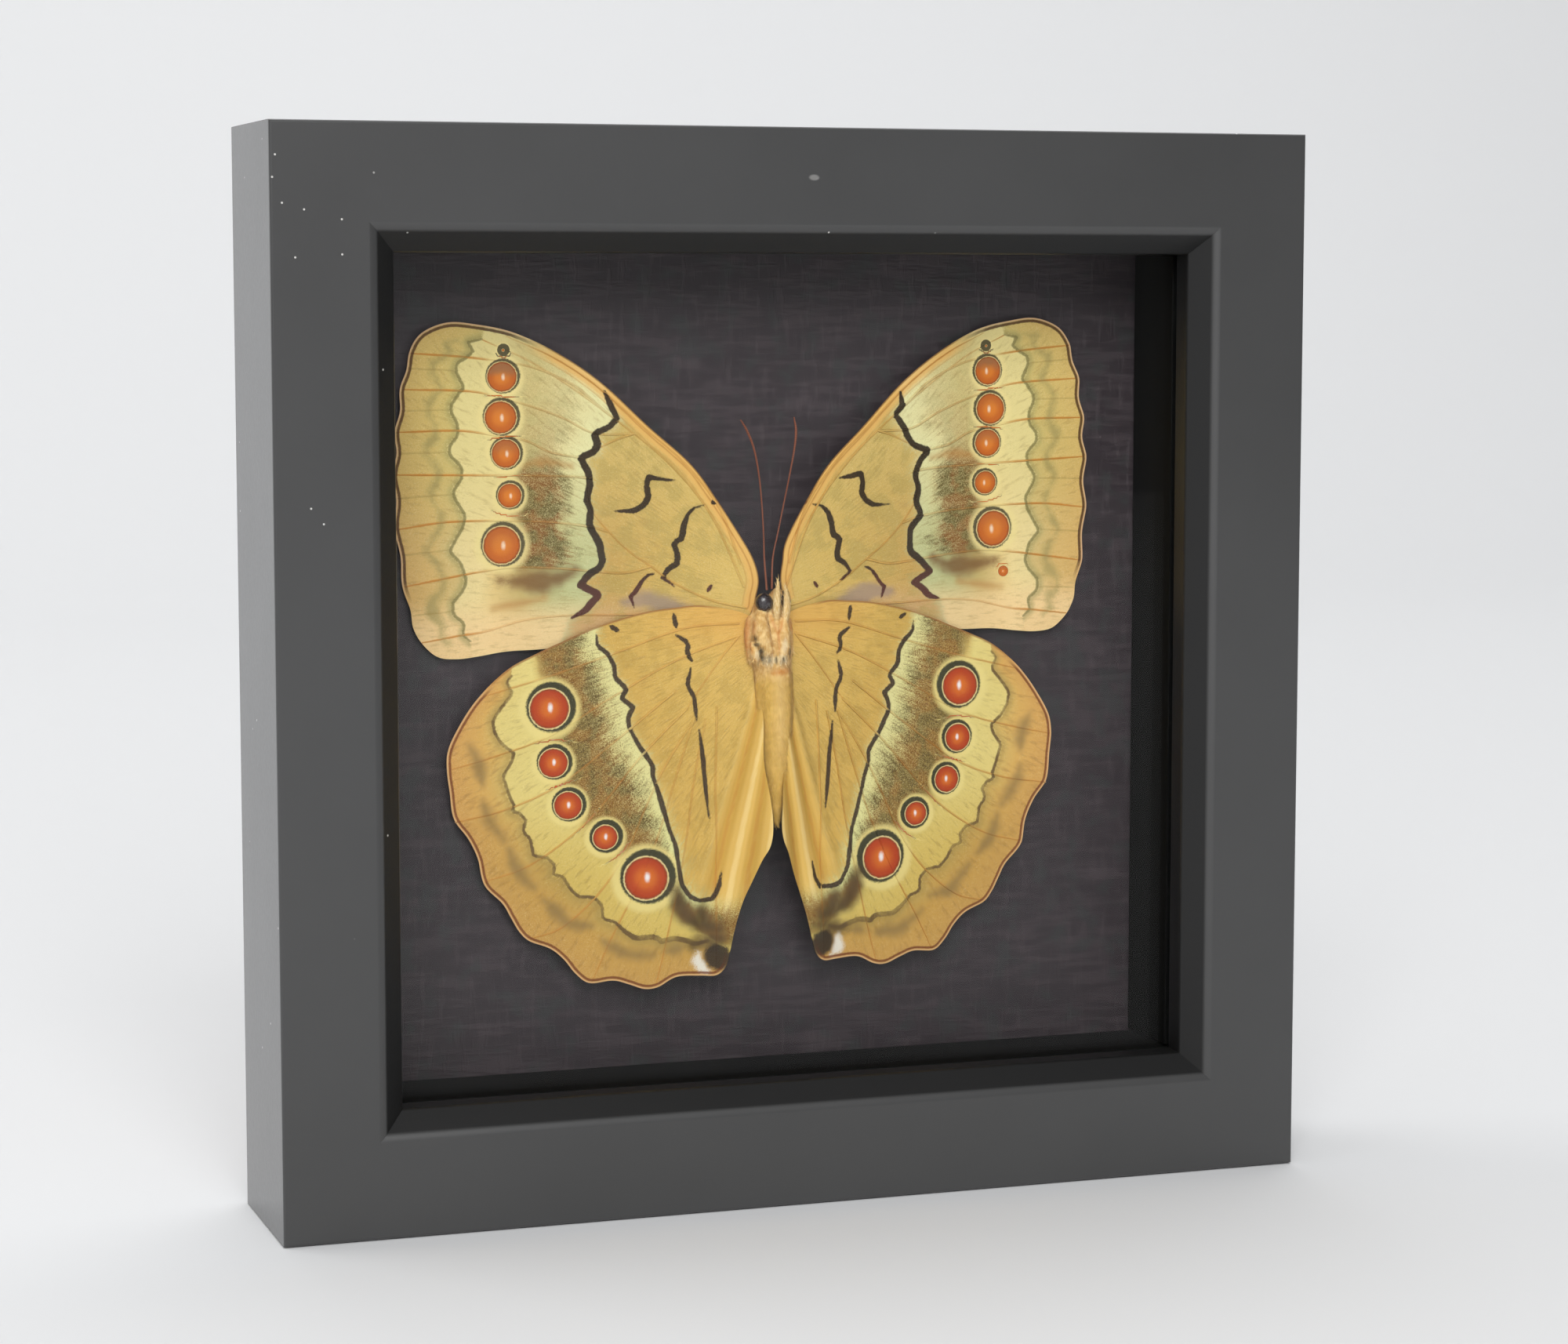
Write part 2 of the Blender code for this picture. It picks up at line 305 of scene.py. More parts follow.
# ---------------------------------------------------------------------------
# The glass: one sheet of clear float glass with ground edges, lying loose
# against the back of the lip. It is seen only by a faint shine.
glass = Finish("clear_glass", rough=0.03)
shine = glass.node("ShaderNodeFresnel", None, {"IOR": 1.45})
mirror = glass.node("ShaderNodeBsdfGlossy", None, {"Roughness": 0.02, "Color": (1, 1, 1, 1)})
open_way = glass.node("ShaderNodeBsdfTransparent", None, {"Color": (0.985, 0.992, 0.988, 1)})
sheet = glass.node("ShaderNodeMixShader", None, {0: shine * 0.2, 1: open_way, 2: mirror})
glass.tree.links.new(sheet.socket, glass.tree.nodes["Material Output"].inputs["Surface"])

# every part in the rebate is cut with this much slack on each side of it
SLACK = 0.3 * MM
INSIDE = SIDE - 2 * (WALL + SLACK)
GLASS_FRONT, GLASS_THICK = LIP_BACK + SLACK, 2.0 * MM


def slab(name, wide, tall, front, thick, edge, centre=(0.0, MIDDLE)):
    """A flat sheet or strip with its edges eased, facing forward."""
    piece = begin(name, bpy.ops.mesh.primitive_cube_add, size=1)
    piece.scale = (wide, thick, tall)
    piece.location = (centre[0], FRONT + front + thick / 2, centre[1])
    bpy.ops.object.transform_apply()
    bpy.ops.object.mode_set(mode="EDIT")
    bpy.ops.mesh.select_mode(type="EDGE")
    bpy.ops.mesh.select_all(action="SELECT")
    bpy.ops.mesh.bevel(offset=edge, segments=2)
    bpy.ops.object.mode_set(mode="OBJECT")
    ease_shading(piece, 50)
    return piece


pane = slab("glass_sheet", INSIDE, INSIDE, GLASS_FRONT, GLASS_THICK, 0.2 * MM)
pane.data.materials.append(glass.material)
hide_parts("glass_pane")
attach(pane, "root")

# ---------------------------------------------------------------------------
# Four spacer strips, foam board faced in black paper, stand between the
# glass and the card. The long two run across, the short two fit between.
strip_face = Finish("black_strip", rough=0.75, Specular_IOR_Level=0.08)
fibre = strip_face.noise(0.0009, 4)
strip_face.feed(
    Base_Color=strip_face.mix(tone(12, 12, 12), tone(20, 20, 19), fibre),
    Roughness=0.66 + fibre * 0.2,
)
strip_face.bump(fibre, 0.25, 0.0001)
CARD_FRONT, STRIP = 26.4 * MM, 6.3 * MM
strip_front = GLASS_FRONT + GLASS_THICK + SLACK
strip_deep = CARD_FRONT - SLACK - strip_front
strip_off = INSIDE / 2 - STRIP / 2
short = INSIDE - 2 * (STRIP + SLACK)
for node, wide, tall, centre in (
    ("spacer_top", INSIDE, STRIP, (0, MIDDLE + strip_off)),
    ("spacer_bottom", INSIDE, STRIP, (0, MIDDLE - strip_off)),
    ("spacer_left", STRIP, short, (-strip_off, MIDDLE)),
    ("spacer_right", STRIP, short, (strip_off, MIDDLE)),
):
    strip = slab(node + "_strip", wide, tall, strip_front, strip_deep, 0.25 * MM, centre)
    strip.data.materials.append(strip_face.material)
    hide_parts(node)
    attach(strip, "root")

# ---------------------------------------------------------------------------
# The backing card: black board faced in laid paper, whose short fibres run
# level and upright, with a few pale flecks. The specimen's pad is glued to it.
laid = Finish("laid_black_card", rough=0.5, Specular_IOR_Level=0.4)
level = laid.noise(0.0011, 3, laid.stretched(0.16, 1, 1))
upright = laid.noise(0.0012, 3, laid.stretched(1, 1, 0.2))
mottle = laid.noise(0.004, 3)
weave = level.rise(0.42, 0.66) * 0.55 + upright.rise(0.5, 0.7) * 0.45
warm = laid.mix(tone(46, 38, 42), tone(66, 56, 60), weave)
fleck = laid.noise(0.0006, 2).rise(0.72, 0.8)
laid.feed(
    Base_Color=laid.mix(
        laid.mix(warm, tone(48, 50, 50), mottle.rise(0.5, 0.68) * 0.6), tone(92, 82, 86), fleck * 0.6
    ),
    Roughness=0.42 + weave * 0.16,
)
laid.bump(weave, 0.5, 0.00012)
CARD_THICK = 1.5 * MM
card = slab("laid_card", INSIDE, INSIDE, CARD_FRONT, CARD_THICK, 0.2 * MM)
card.data.materials.append(laid.material)
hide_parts("backing_card")
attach(card, "root")

# the pad stands behind the thorax
PAD_THICK, PAD_CENTRE = 3.0 * MM, (-1.4 * MM, 95 * MM)
pad = slab("foam_pad", 7 * MM, 12 * MM, CARD_FRONT - SLACK - PAD_THICK, PAD_THICK, 0.3 * MM, PAD_CENTRE)
pad.data.materials.append(strip_face.material)
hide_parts("mount_pad")
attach(pad, "root")

# ---------------------------------------------------------------------------
# The back: a brown hardboard panel, smooth side out, held in the rebate by
# eight steel glazing points that are pressed into the rails.
board = Finish("hardboard", rough=0.75)
wood_fibre = board.noise(0.0012, 5, board.stretched(1, 1, 0.55))
blotch = board.noise(0.02, 3)
browns = board.mix(tone(116, 84, 56), tone(146, 110, 76), wood_fibre.rise(0.35, 0.65))
board.feed(Base_Color=board.mix(browns, tone(98, 70, 46), blotch.rise(0.5, 0.75)), Roughness=0.6 + wood_fibre * 0.25)
board.bump(wood_fibre, 0.35, 0.00012)
BACK_FRONT, BACK_THICK = CARD_FRONT + CARD_THICK + SLACK, 3.0 * MM
back = slab("hardboard_back", INSIDE, INSIDE, BACK_FRONT, BACK_THICK, 0.3 * MM)
back.data.materials.append(board.material)
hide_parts("back_panel")
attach(back, "root")

steel = Finish("pressed_steel", rough=0.35, Metallic=1.0)
rub = steel.noise(0.0008, 4, steel.stretched(1, 1, 0.2))
steel.feed(Base_Color=steel.mix(tone(150, 150, 152), tone(196, 196, 198), rub), Roughness=0.26 + rub * 0.25)
steel.bump(rub, 0.2, 0.00005)
REBATE = SIDE - 2 * WALL
POINT_THICK = 0.5 * MM
point_front = BACK_FRONT + BACK_THICK + SLACK
for quarter, side_name in enumerate(("bottom", "left", "top", "right")):
    for number, along in ((1, -40 * MM), (2, 40 * MM)):
        tab = begin(f"steel_point_{side_name}_{number}", bpy.ops.mesh.primitive_cube_add, size=1)
        tab.scale = (9 * MM, POINT_THICK, 5.1 * MM)
        tab.location = (along, FRONT + point_front + POINT_THICK / 2, -REBATE / 2 + 2.85 * MM)
        bpy.ops.object.transform_apply()
        bpy.ops.object.mode_set(mode="EDIT")
        # its inner end runs out to a blunt point
        pick(tab, "faces", lambda f: f.normal.z > 0.9)
        bpy.ops.mesh.extrude_region_move(TRANSFORM_OT_translate={"value": (0, 0, 6.3 * MM)})
        bpy.ops.transform.resize(value=(0.12, 1, 1), center_override=(along, 0, 0))
        bpy.ops.mesh.select_mode(type="EDGE")
        bpy.ops.mesh.select_all(action="SELECT")
        bpy.ops.mesh.bevel(offset=0.08 * MM, segments=1)
        bpy.ops.object.mode_set(mode="OBJECT")
        ease_shading(tab, 35)
        tab.data.transform(Matrix.Translation((0, 0, MIDDLE)) @ Matrix.Rotation(quarter * math.pi / 2, 4, "Y"))
        tab.data.materials.append(steel.material)
        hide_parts(f"glazing_point_{side_name}_{number}")
        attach(tab, "root")

# ---------------------------------------------------------------------------
# The forewings: a thin membrane on tubular veins, covered in scales, dried
# flat with the roots raised on the thorax. Across is counted in mm away from
# the body's axis and up from the middle of the thorax, as on the hindwings.
AXIS, LEAN = Vector((-1.4 * MM, 0, 95 * MM)), math.radians(0.85)
WING_SIZE = {"left": (-1, 1.01), "right": (1, 0.99)}
SKIN_THICK, VEIN_THICK, VEIN_HALF = 0.16, 0.24, 1.1


def through(points, step, closed=False, sharp=False):
    """A line through points, smooth or with its corners kept, in even steps."""
    given = np.array(points, float)
    if closed:
        padded = np.vstack((given[-1], given, given[:2]))
    else:
        padded = np.vstack((2 * given[0] - given[1], given, 2 * given[-1] - given[-2]))
    a, b, c, d = padded[:-3], padded[1:-2], padded[2:-1], padded[3:]
    t = np.linspace(0, 1, 10, endpoint=False)[:, None, None]
    fine = 0.5 * (2 * b + (c - a) * t + (2 * a - 5 * b + 4 * c - d) * t**2 + (3 * b - a - 3 * c + d) * t**3)
    fine = fine.transpose(1, 0, 2).reshape(-1, given.shape[1])
    fine = given if sharp else np.vstack((fine, given[0] if closed else given[-1]))
    run = np.concatenate(((0,), np.cumsum(np.linalg.norm(np.diff(fine[:, :2], axis=0), axis=1))))
    count = max(3, int(run[-1] / step))
    at = np.linspace(0, run[-1], count, endpoint=not closed)
    return np.column_stack([np.interp(at, run, column) for column in fine.T])


def nearest(spots, path):
    """For each spot: its distance from a path, which side it is on, and how far along it is."""
    best = np.full(len(spots), 1e9)
    square = np.zeros(len(spots))
    side, along = np.ones(len(spots)), np.zeros(len(spots))
    for number, (start, end) in enumerate(zip(path[:-1], path[1:])):
        run, away = (end - start)[:2], spots - start[:2]
        share = np.clip(away @ run / max(run @ run, 1e-9), 0, 1)
        gap = away - share[:, None] * run
        length = np.hypot(gap[:, 0], gap[:, 1])
        cross = (run[0] * away[:, 1] - run[1] * away[:, 0]) / max(np.hypot(*run), 1e-9)
        # at a corner two stretches are equally near: the one seen more squarely tells the side
        closer = (length < best - 1e-7) | ((length < best + 1e-7) & (np.abs(cross) > square))
        best[closer], square[closer] = length[closer], np.abs(cross)[closer]
        side[closer] = np.sign(cross)[closer]
        along[closer] = ((number + share) / (len(path) - 1))[closer]
    return best, side, along


def strokes(spots, lines, half, taper=0.12, thin=0.35, sharp=True):
    """Distance from the edge of drawn lines whose ends taper: below 0 inside them."""
    best = np.full(len(spots), 99.0)
    for line in lines:
        gap, _, along = nearest(spots, through(line, 0.8, sharp=sharp))
        run = np.minimum(along, 1 - along) / taper
        best = np.minimum(best, gap - half * (thin + (1 - thin) * np.clip(run, 0, 1)))
    return best


def hold(piece, **values):
    """Keep one value for each of the mesh's points under each name."""
    for name, value in values.items():
        kept = piece.data.attributes.new(name, "FLOAT", "POINT")
        kept.data.foreach_set("value", np.ascontiguousarray(value, np.float32))


def membrane(outline, step):
    """A flat skin of even small triangles inside an outline, as points and faces."""
    edge = through(outline, step, closed=True)
    low, high = edge.min(axis=0), edge.max(axis=0)
    rows = np.arange(low[1], high[1], step * 0.866)
    inner = []
    for number, row in enumerate(rows):
        spread = np.arange(low[0] + (step / 2) * (number % 2), high[0], step)
        inner.append(np.column_stack((spread, np.full(len(spread), row))))
    inner = np.vstack(inner)
    loop = np.vstack((edge, edge[:1]))
    crossings = np.zeros(len(inner), int)
    for (ax, ay), (bx, by) in zip(loop[:-1], loop[1:]):
        if ay == by:
            continue
        spans = (inner[:, 1] > min(ay, by)) & (inner[:, 1] <= max(ay, by))
        crossings += spans & (inner[:, 0] < ax + (inner[:, 1] - ay) * (bx - ax) / (by - ay))
    inner = inner[crossings % 2 == 1]
    inner = inner[nearest(inner, loop)[0] > step * 0.55]
    count = len(edge)
    points = [Vector(p) for p in np.vstack((edge, inner))]
    ring = [(i, (i + 1) % count) for i in range(count)]
    made = delaunay_2d_cdt(points, ring, [], 1, 1e-6)
    return np.array([tuple(p) for p in made[0]]), [tuple(face) for face in made[2]], loop


def vein_tubes(lines, thick):
    """Six-sided tapering tubes along the veins, as points and faces, flat at first."""
    points, faces = [], []
    for line in lines:
        path = through(line, 0.9)
        steps = np.gradient(path, axis=0)
        steps /= np.maximum(np.linalg.norm(steps, axis=1)[:, None], 1e-9)
        for number, (spot, way) in enumerate(zip(path, steps)):
            radius = thick * (1 - 0.72 * number / (len(path) - 1))
            for corner in range(6):
                turn = math.tau * corner / 6
                across = radius * math.cos(turn)
                points.append((spot[0] - way[1] * across, spot[1] + way[0] * across, radius * math.sin(turn)))
            if number:
                here = len(points) - 6
                for corner in range(6):
                    following = (corner + 1) % 6
                    faces.append((here - 6 + corner, here - 6 + following, here + following, here + corner))
        first = len(points) - 6 * len(path)
        faces.append(tuple(range(first + 5, first - 1, -1)))
        faces.append(tuple(range(len(points) - 6, len(points))))
    return np.array(points), faces


def build_wing(name, side, outline, veins, deep, relief):
    """The membrane with its veins, bent to its standing height; returns it, its flat spots and its edge."""
    flat, skin, loop = membrane(outline, WING_STEP)
    tubes, tube_faces = vein_tubes(veins, VEIN_THICK)
    spots = np.vstack((flat, flat, tubes[:, :2]))
    count = len(flat)
    skin_back = [tuple(count + i for i in reversed(face)) for face in skin]
    rim = list(range(len(loop) - 1))
    walls = [(i, j, j + count, i + count) for i, j in zip(rim, rim[1:] + rim[:1])]
    faces = skin + skin_back + walls + [tuple(2 * count + i for i in face) for face in tube_faces]
    forward = np.concatenate((np.full(count, SKIN_THICK), np.zeros(count), tubes[:, 2] + SKIN_THICK))
    sign, size = WING_SIZE[side]
    tall = relief(spots) + forward
    turned = np.column_stack((sign * spots[:, 0] * size, spots[:, 1] * size)) * MM
    cos, sin = math.cos(LEAN), math.sin(LEAN)
    x = AXIS.x + turned[:, 0] * cos - turned[:, 1] * sin
    z = AXIS.z + turned[:, 0] * sin + turned[:, 1] * cos
    mesh = bpy.data.meshes.new(name)
    mesh.from_pydata(np.column_stack((x, FRONT + deep * MM - tall * MM, z)).tolist(), [], faces)
    piece = bpy.data.objects.new(name, mesh)
    bpy.context.collection.objects.link(piece)
    bpy.ops.object.select_all(action="DESELECT")
    bpy.context.view_layer.objects.active = piece
    piece.select_set(True)
    bpy.ops.object.mode_set(mode="EDIT")
    bpy.ops.mesh.select_all(action="SELECT")
    bpy.ops.mesh.normals_make_consistent(inside=False)
    bpy.ops.object.mode_set(mode="OBJECT")
    bpy.ops.object.shade_smooth_by_angle(angle=math.radians(60))
    return piece, spots, loop


def zones(spots, start, lines, edge_gap):
    """0 at the root, then one more at each of three lines, and 4 at the outer edge."""
    gaps = []
    for line in lines:
        gap, side, _ = nearest(spots, through(line, 0.8, sharp=True))
        gaps.append(gap * side)
    from_root = np.hypot(*(spots - np.array(start)).T)
    zone = from_root / (from_root + np.maximum(-gaps[0], 0) + 1e-6)
    for number in range(2):
        here, following = gaps[number], gaps[number + 1]
        passed = here > 0
        zone[passed] = number + 1 + (here / (here + np.maximum(-following, 0) + 1e-6))[passed]
    passed = gaps[2] > 0
    zone[passed] = 3 + (gaps[2] / (gaps[2] + edge_gap + 1e-6))[passed]
    return zone


def eye_places(spots, eyes):
    """How far each spot lies from its nearest eyespot, in that eyespot's own radii."""
    best = np.full(len(spots), 1e9)
    kept = np.zeros((4, len(spots)))
    for number, (a, u, outer, disc) in enumerate(eyes):
        away = (spots - np.array((a, u))) / outer
        length = np.hypot(*away.T)
        closer = length < best
        best[closer] = length[closer]
        for row, value in enumerate((away[:, 0], away[:, 1], disc / outer, number)):
            kept[row][closer] = value[closer] if isinstance(value, np.ndarray) else value
    return kept


FORE_ROOT = {
    "left": ((2.6, 3.6), (1.8, 6.4), (1.3, 9.2), (2.1, 12.6), (4.2, 16.6)),
    "right": ((3.6, 5.0), (2.9, 7.4), (2.7, 9.6), (3.1, 12.2), (4.0, 16.0)),
}
FOREWING = (
    (8.2, 23.0), (12.5, 29.0), (19.3, 35.3), (27.0, 42.7),
    (34.2, 47.8), (41.8, 51.5), (48.5, 53.0), (53.0, 53.3), (57.2, 51.7), (59.3, 48.9), (60.0, 45.6), (61.2, 42.5),
    (61.2, 39.0), (62.2, 35.5), (61.9, 32.0), (62.7, 28.4), (62.1, 24.2), (62.6, 19.8), (61.7, 15.0),
    (61.6, 10.2), (60.3, 6.2), (59.9, 3.2), (58.4, 0.4), (55.8, -1.9), (52.5, -2.4), (48.8, -2.1),
    (44.0, -1.5), (37.5, -1.3), (28.0, -0.5), (14.0, 1.0), (6.0, 2.0),
)
FORE_MARGIN = FOREWING[7:26]
FORE_VEINS = (
    ((3.5, 4.5), (9.5, 6), (15.5, 9), (19.5, 12), (23, 14.5), (26.5, 18), (29.3, 22), (30, 27), (31, 30.5)),
    ((3.8, 8), (9, 20), (16, 29), (26, 37.5), (38, 46), (47, 50.4)),
    ((4.4, 12), (7.8, 21.5), (13.6, 29.2), (20.4, 35.4), (27.6, 42), (35, 47.1), (43, 50.9)),
    ((26, 37.5), (32, 42.6), (38, 45.4), (42, 46.4), (50, 47.6), (59.4, 48.4)),
    ((22, 34.3), (28.5, 34.5), (33.5, 37), (38.5, 39), (45, 41), (50, 42), (60.7, 42.5)),
    ((31, 30.5), (36, 31.5), (40, 33.5), (45, 34.5), (51.5, 35.5), (61.6, 35.5)),
    ((29, 27), (34.5, 27.5), (47, 28), (62.1, 28.5)),
    ((26.6, 18), (30, 19), (38, 20), (52.5, 20.5), (62.1, 19.5)),
    ((19.5, 12), (24, 11), (29.5, 11.5), (34, 12), (41.5, 12.5), (48, 12), (55, 11), (61.3, 10)),
    ((6, 4), (25, 4), (33, 4.2), (40.5, 3.7), (47.5, 2), (52, 1.5), (58.5, 0.6)),
    ((22, 34.3), (24.5, 33.5), (28, 32), (31, 30.5)),
)
FORE_CREASES = (
    ((61.0, 46.0), (51.6, 45.4)), ((61.4, 39.0), (52.4, 39.0)), ((62.1, 32.0), (53.0, 32.0)),
    ((62.4, 24.6), (52.4, 25.0)), ((61.8, 15.2), (53.4, 15.8)), ((60.0, 5.2), (52.8, 5.6)),
)
FORE_MEDIAN = {
    "left": (
        (26.8, 41.4), (25.5, 38.5), (24.7, 37), (26, 35.5), (28.6, 34.5), (28, 32.6), (28.6, 31.4), (31, 30.5),
        (29.6, 28), (29.4, 26), (30, 23.5), (29.4, 21.8), (29.7, 19), (28, 16), (27.6, 13), (28.2, 12),
        (30, 11), (31.5, 9.2), (28.2, 7.5), (29.4, 6.4), (30.6, 5), (33, 3.8),
    ),
    "right": (
        (26.4, 41), (26.8, 38.6), (25.4, 37), (27, 35), (28, 32.8), (29, 31.6), (32, 30.5), (30.5, 29),
        (29.2, 26.5), (30, 24), (29.4, 21.6), (30.4, 19.4), (28.2, 17), (28, 13), (30, 11.4), (32, 9.2),
        (28.6, 7.5), (30.4, 6.4), (31.6, 5), (33.4, 4.4),
    ),
}
FORE_MARKS = (
    ((14.6, 26.3), (17, 26.6), (19, 27), (19.3, 25.5), (19, 23.5), (20, 22.1), (21.5, 21.4), (24.8, 21.4)),
    ((9.6, 22), (11.4, 21.6), (12.4, 20.6), (13.2, 18.5), (13.4, 16.6), (14.8, 15.8), (14.2, 13.6),
     (14.2, 12.4), (15.8, 11.4), (16.8, 10), (14.8, 8.5)),
    ((7.8, 22.2), (8.2, 22.8)),
)
FORE_FINE_MARKS = (
    ((19, 10.7), (20.2, 10.4), (21.4, 9), (22, 7.9), (23, 7), (22.4, 5.2)),
    ((9.2, 8.6), (10, 7.4)),
)
FORE_WAVY = (
    (47, 50.5), (49.4, 50), (48.6, 48.6), (49.6, 47.6), (51.4, 46.6), (51.6, 45.4), (51, 44), (50.2, 42.5),
    (51, 42), (51.6, 41), (52.6, 39.6), (52.5, 38.5), (51.5, 36.5), (51.6, 34.6), (53, 33), (53, 31.5),
    (52, 30.5), (51, 29.4), (51.1, 27.6), (52.5, 25.6), (52.4, 24.4), (50.6, 21.5), (51.1, 19.5), (53.4, 15.6),
    (51.5, 13.5), (50.6, 10.6), (51.2, 9), (53, 7), (53, 5), (51.1, 3.5), (51.5, 1.6), (50.2, 0.4),
)
FORE_EYES = (
    (43.5, 48.6, 1.0, 0.2), (43.8, 44.2, 2.8, 2.4), (44.2, 37.5, 3.05, 2.6), (43.5, 31.5, 2.7, 2.3),
    (43, 24.5, 2.35, 1.95), (44.5, 16.3, 3.6, 3.05),
)
FORE_ROW = (
    (43, 62), (43.5, 48.5), (43.9, 44), (44, 37.5), (43.5, 31.5), (43.2, 24.5), (44.4, 16.3), (46, 8.5), (46, -9),
)


def raised_root(spots, veins, ridge):
    """The wing's own height in mm: it slopes up to the body, with a low ridge along each vein."""
    height = 5.5 * np.maximum(0, 1 - spots[:, 0] / 45) ** 1.2
    for line in veins:
        height += ridge * np.exp(-((nearest(spots, through(line, 2.0))[0] / VEIN_HALF) ** 2))
    return height


def fore_relief(spots):
    across, up = spots.T
    height = raised_root(spots, FORE_VEINS[2:10], 0.12)
    height += 0.22 * np.sin(across * 0.21 + 1.1) * np.sin(up * 0.17 + 0.4)
    return height


def scaly(finish, high_stops, low_stops, low_up, high_up):
    """The wings' finish: soft zones of colour, speckled, with fuzzy-edged markings over them."""
    fuzz = finish.noise(0.00033, 2.0)
    flecks = finish.noise(0.00016, 2.0)
    smoke = finish.noise(0.0034, 3.0)
    fan = {"Vector": finish.node("ShaderNodeCombineXYZ", None, {0: finish.held("fan"), 1: finish.held("reach")})}
    ray = finish.node("ShaderNodeTexNoise", None, fan | {"Scale": 2.6, "Detail": 3.0, "Roughness": 0.6})
    zone = finish.held("zone") + (ray - 0.5) * 0.16 + (flecks - 0.5) * 0.2
    share = zone / 4
    high = finish.node("ShaderNodeValToRGB", {"stops": high_stops}, {"Fac": share})
    low = finish.node("ShaderNodeValToRGB", {"stops": low_stops}, {"Fac": share})
    colour = finish.mix(low, high, finish.held("up").rise(low_up, high_up))
    return fuzz, flecks, smoke, ray, zone, colour


def stops(*pairs):
    return [(at, tone(*colour)[:3]) for at, colour in pairs]


fore = Finish("forewing_scales", rough=0.6, Specular_IOR_Level=0.2)
fuzz, flecks, smoke, ray, zone, colour = scaly(
    fore,
    stops(
        (0.0, (210, 180, 110)), (0.12, (208, 178, 106)), (0.24, (204, 174, 102)), (0.255, (226, 220, 166)),
        (0.33, (222, 208, 150)), (0.42, (214, 196, 132)), (0.5, (222, 204, 140)), (0.62, (226, 208, 142)),
        (0.74, (226, 208, 142)), (0.76, (200, 180, 110)), (0.83, (212, 184, 110)), (1.0, (212, 178, 104)),
    ),
    stops(
        (0.0, (214, 182, 104)), (0.12, (204, 170, 92)), (0.24, (192, 154, 84)), (0.255, (188, 190, 138)),
        (0.32, (182, 180, 126)), (0.42, (194, 170, 106)), (0.5, (226, 196, 130)), (0.62, (234, 210, 148)),
        (0.74, (230, 208, 148)), (0.76, (204, 180, 118)), (0.84, (214, 178, 110)), (1.0, (212, 170, 100)),
    ),
    10.0, 34.0,
)
across, up = fore.held("across"), fore.held("up")
# pinkish cream toward the rear, tan at the root, and rays of darker scales
colour = colour.under(tone(238, 203, 148), up.fall(2.0, 8.5) * zone.rise(0.98, 1.08) * 0.85)
colour = colour.under(tone(206, 164, 124), up.fall(2.0, 9.0) * zone.between(0.35, 1.0, 0.12) * 0.6)
colour = colour.under(tone(196, 140, 70), up.fall(1.0, 5.0) * zone.fall(0.4, 0.8) * 0.35)
colour = colour.under(tone(150, 116, 60), ray.rise(0.5, 0.72) * 0.3)
# smoky scales that thicken towards the row of eyespots, strongest beside the lower ones
smoky = (zone + (smoke - 0.5) * 0.4 + (ray - 0.5) * 0.16).rise(1.16, 1.42)
smoky = smoky * (zone + (smoke - 0.5) * 0.3).fall(1.78, 1.98)
smoky = smoky * up.rise(11.5, 12.8) * (0.16 + up.fall(26, 33) * 0.6 + up.fall(30, 46) * 0.24)
dust = (flecks + (ray - 0.5) * 0.5).rise(0.4, 0.6)
murk = fore.mix(tone(126, 78, 32), tone(94, 80, 38), smoke.rise(0.42, 0.58))
colour = colour.under(murk, smoky * (0.66 + dust * 0.32))
olive = (smoke + (ray - 0.5) * 0.4).rise(0.42, 0.62) * zone.between(0.2, 0.99, 0.08)
colour = colour.under(tone(172, 150, 82), olive * 0.5)
colour = colour.under(tone(120, 90, 46), flecks.rise(0.56, 0.7) * 0.2)
colour = colour.under(tone(244, 228, 178), flecks.fall(0.3, 0.44) * 0.25)
# the brown smudge under the last eyespot, and the grey patch by the root
dusk = fore.held("dusk") + (smoke - 0.5) * 2.6 + (flecks - 0.5) * 2.0
colour = colour.under(tone(108, 64, 28), dusk.fall(-1.2, 1.3) * 0.8)
streak = fore.held("streak") + (smoke - 0.5) * 1.0 + (flecks - 0.5) * 1.0
colour = colour.under(tone(180, 126, 62), streak.fall(-0.6, 1.1) * 0.6)
slate = fore.held("slate") + (smoke - 0.5) * 2.0 + (fuzz - 0.5) * 0.8
colour = colour.under(tone(140, 122, 122), slate.fall(-0.8, 0.9) * 0.6)
# the costa, the veins, and the outer edge with its dark line and pale fringe
rim, outer, costal = fore.held("rim"), fore.held("outer"), fore.held("costal")
colour = colour.under(tone(226, 176, 98), (rim + (fuzz - 0.5) * 0.5).fall(1.4, 2.4) * costal * 0.8)
colour = colour.under(tone(176, 116, 48), (rim + (ray - 0.5) * 0.3).between(0.9, 1.15, 0.12) * costal * 0.6)
colour = colour.under(tone(190, 140, 70), (rim + (ray - 0.5) * 0.3).between(2.0, 2.2, 0.12) * costal * 0.5)
vein = fore.held("vein") + (fuzz - 0.5) * 0.1
colour = colour.under(tone(200, 132, 50), vein.fall(-0.05, 0.16) * (0.25 + zone.rise(2.0, 3.1) * 0.6))
smudge = fore.held("smudge") + (smoke - 0.5) * 3.0 + (fuzz - 0.5) * 0.9
colour = colour.under(tone(156, 142, 86), smudge.fall(-0.9, 0.9) * 0.7)
crease = fore.held("crease") + (fuzz - 0.5) * 0.1
colour = colour.under(tone(160, 134, 70), crease.fall(-0.05, 0.15) * zone.rise(2.9, 3.1) * 0.5)
wavy = fore.held("wavy") + (fuzz - 0.5) * 0.3
colour = colour.under(tone(150, 140, 86), (wavy + (smoke - 0.5) * 0.8).fall(0.0, 1.3) * zone.rise(2.98, 3.06) * 0.6)
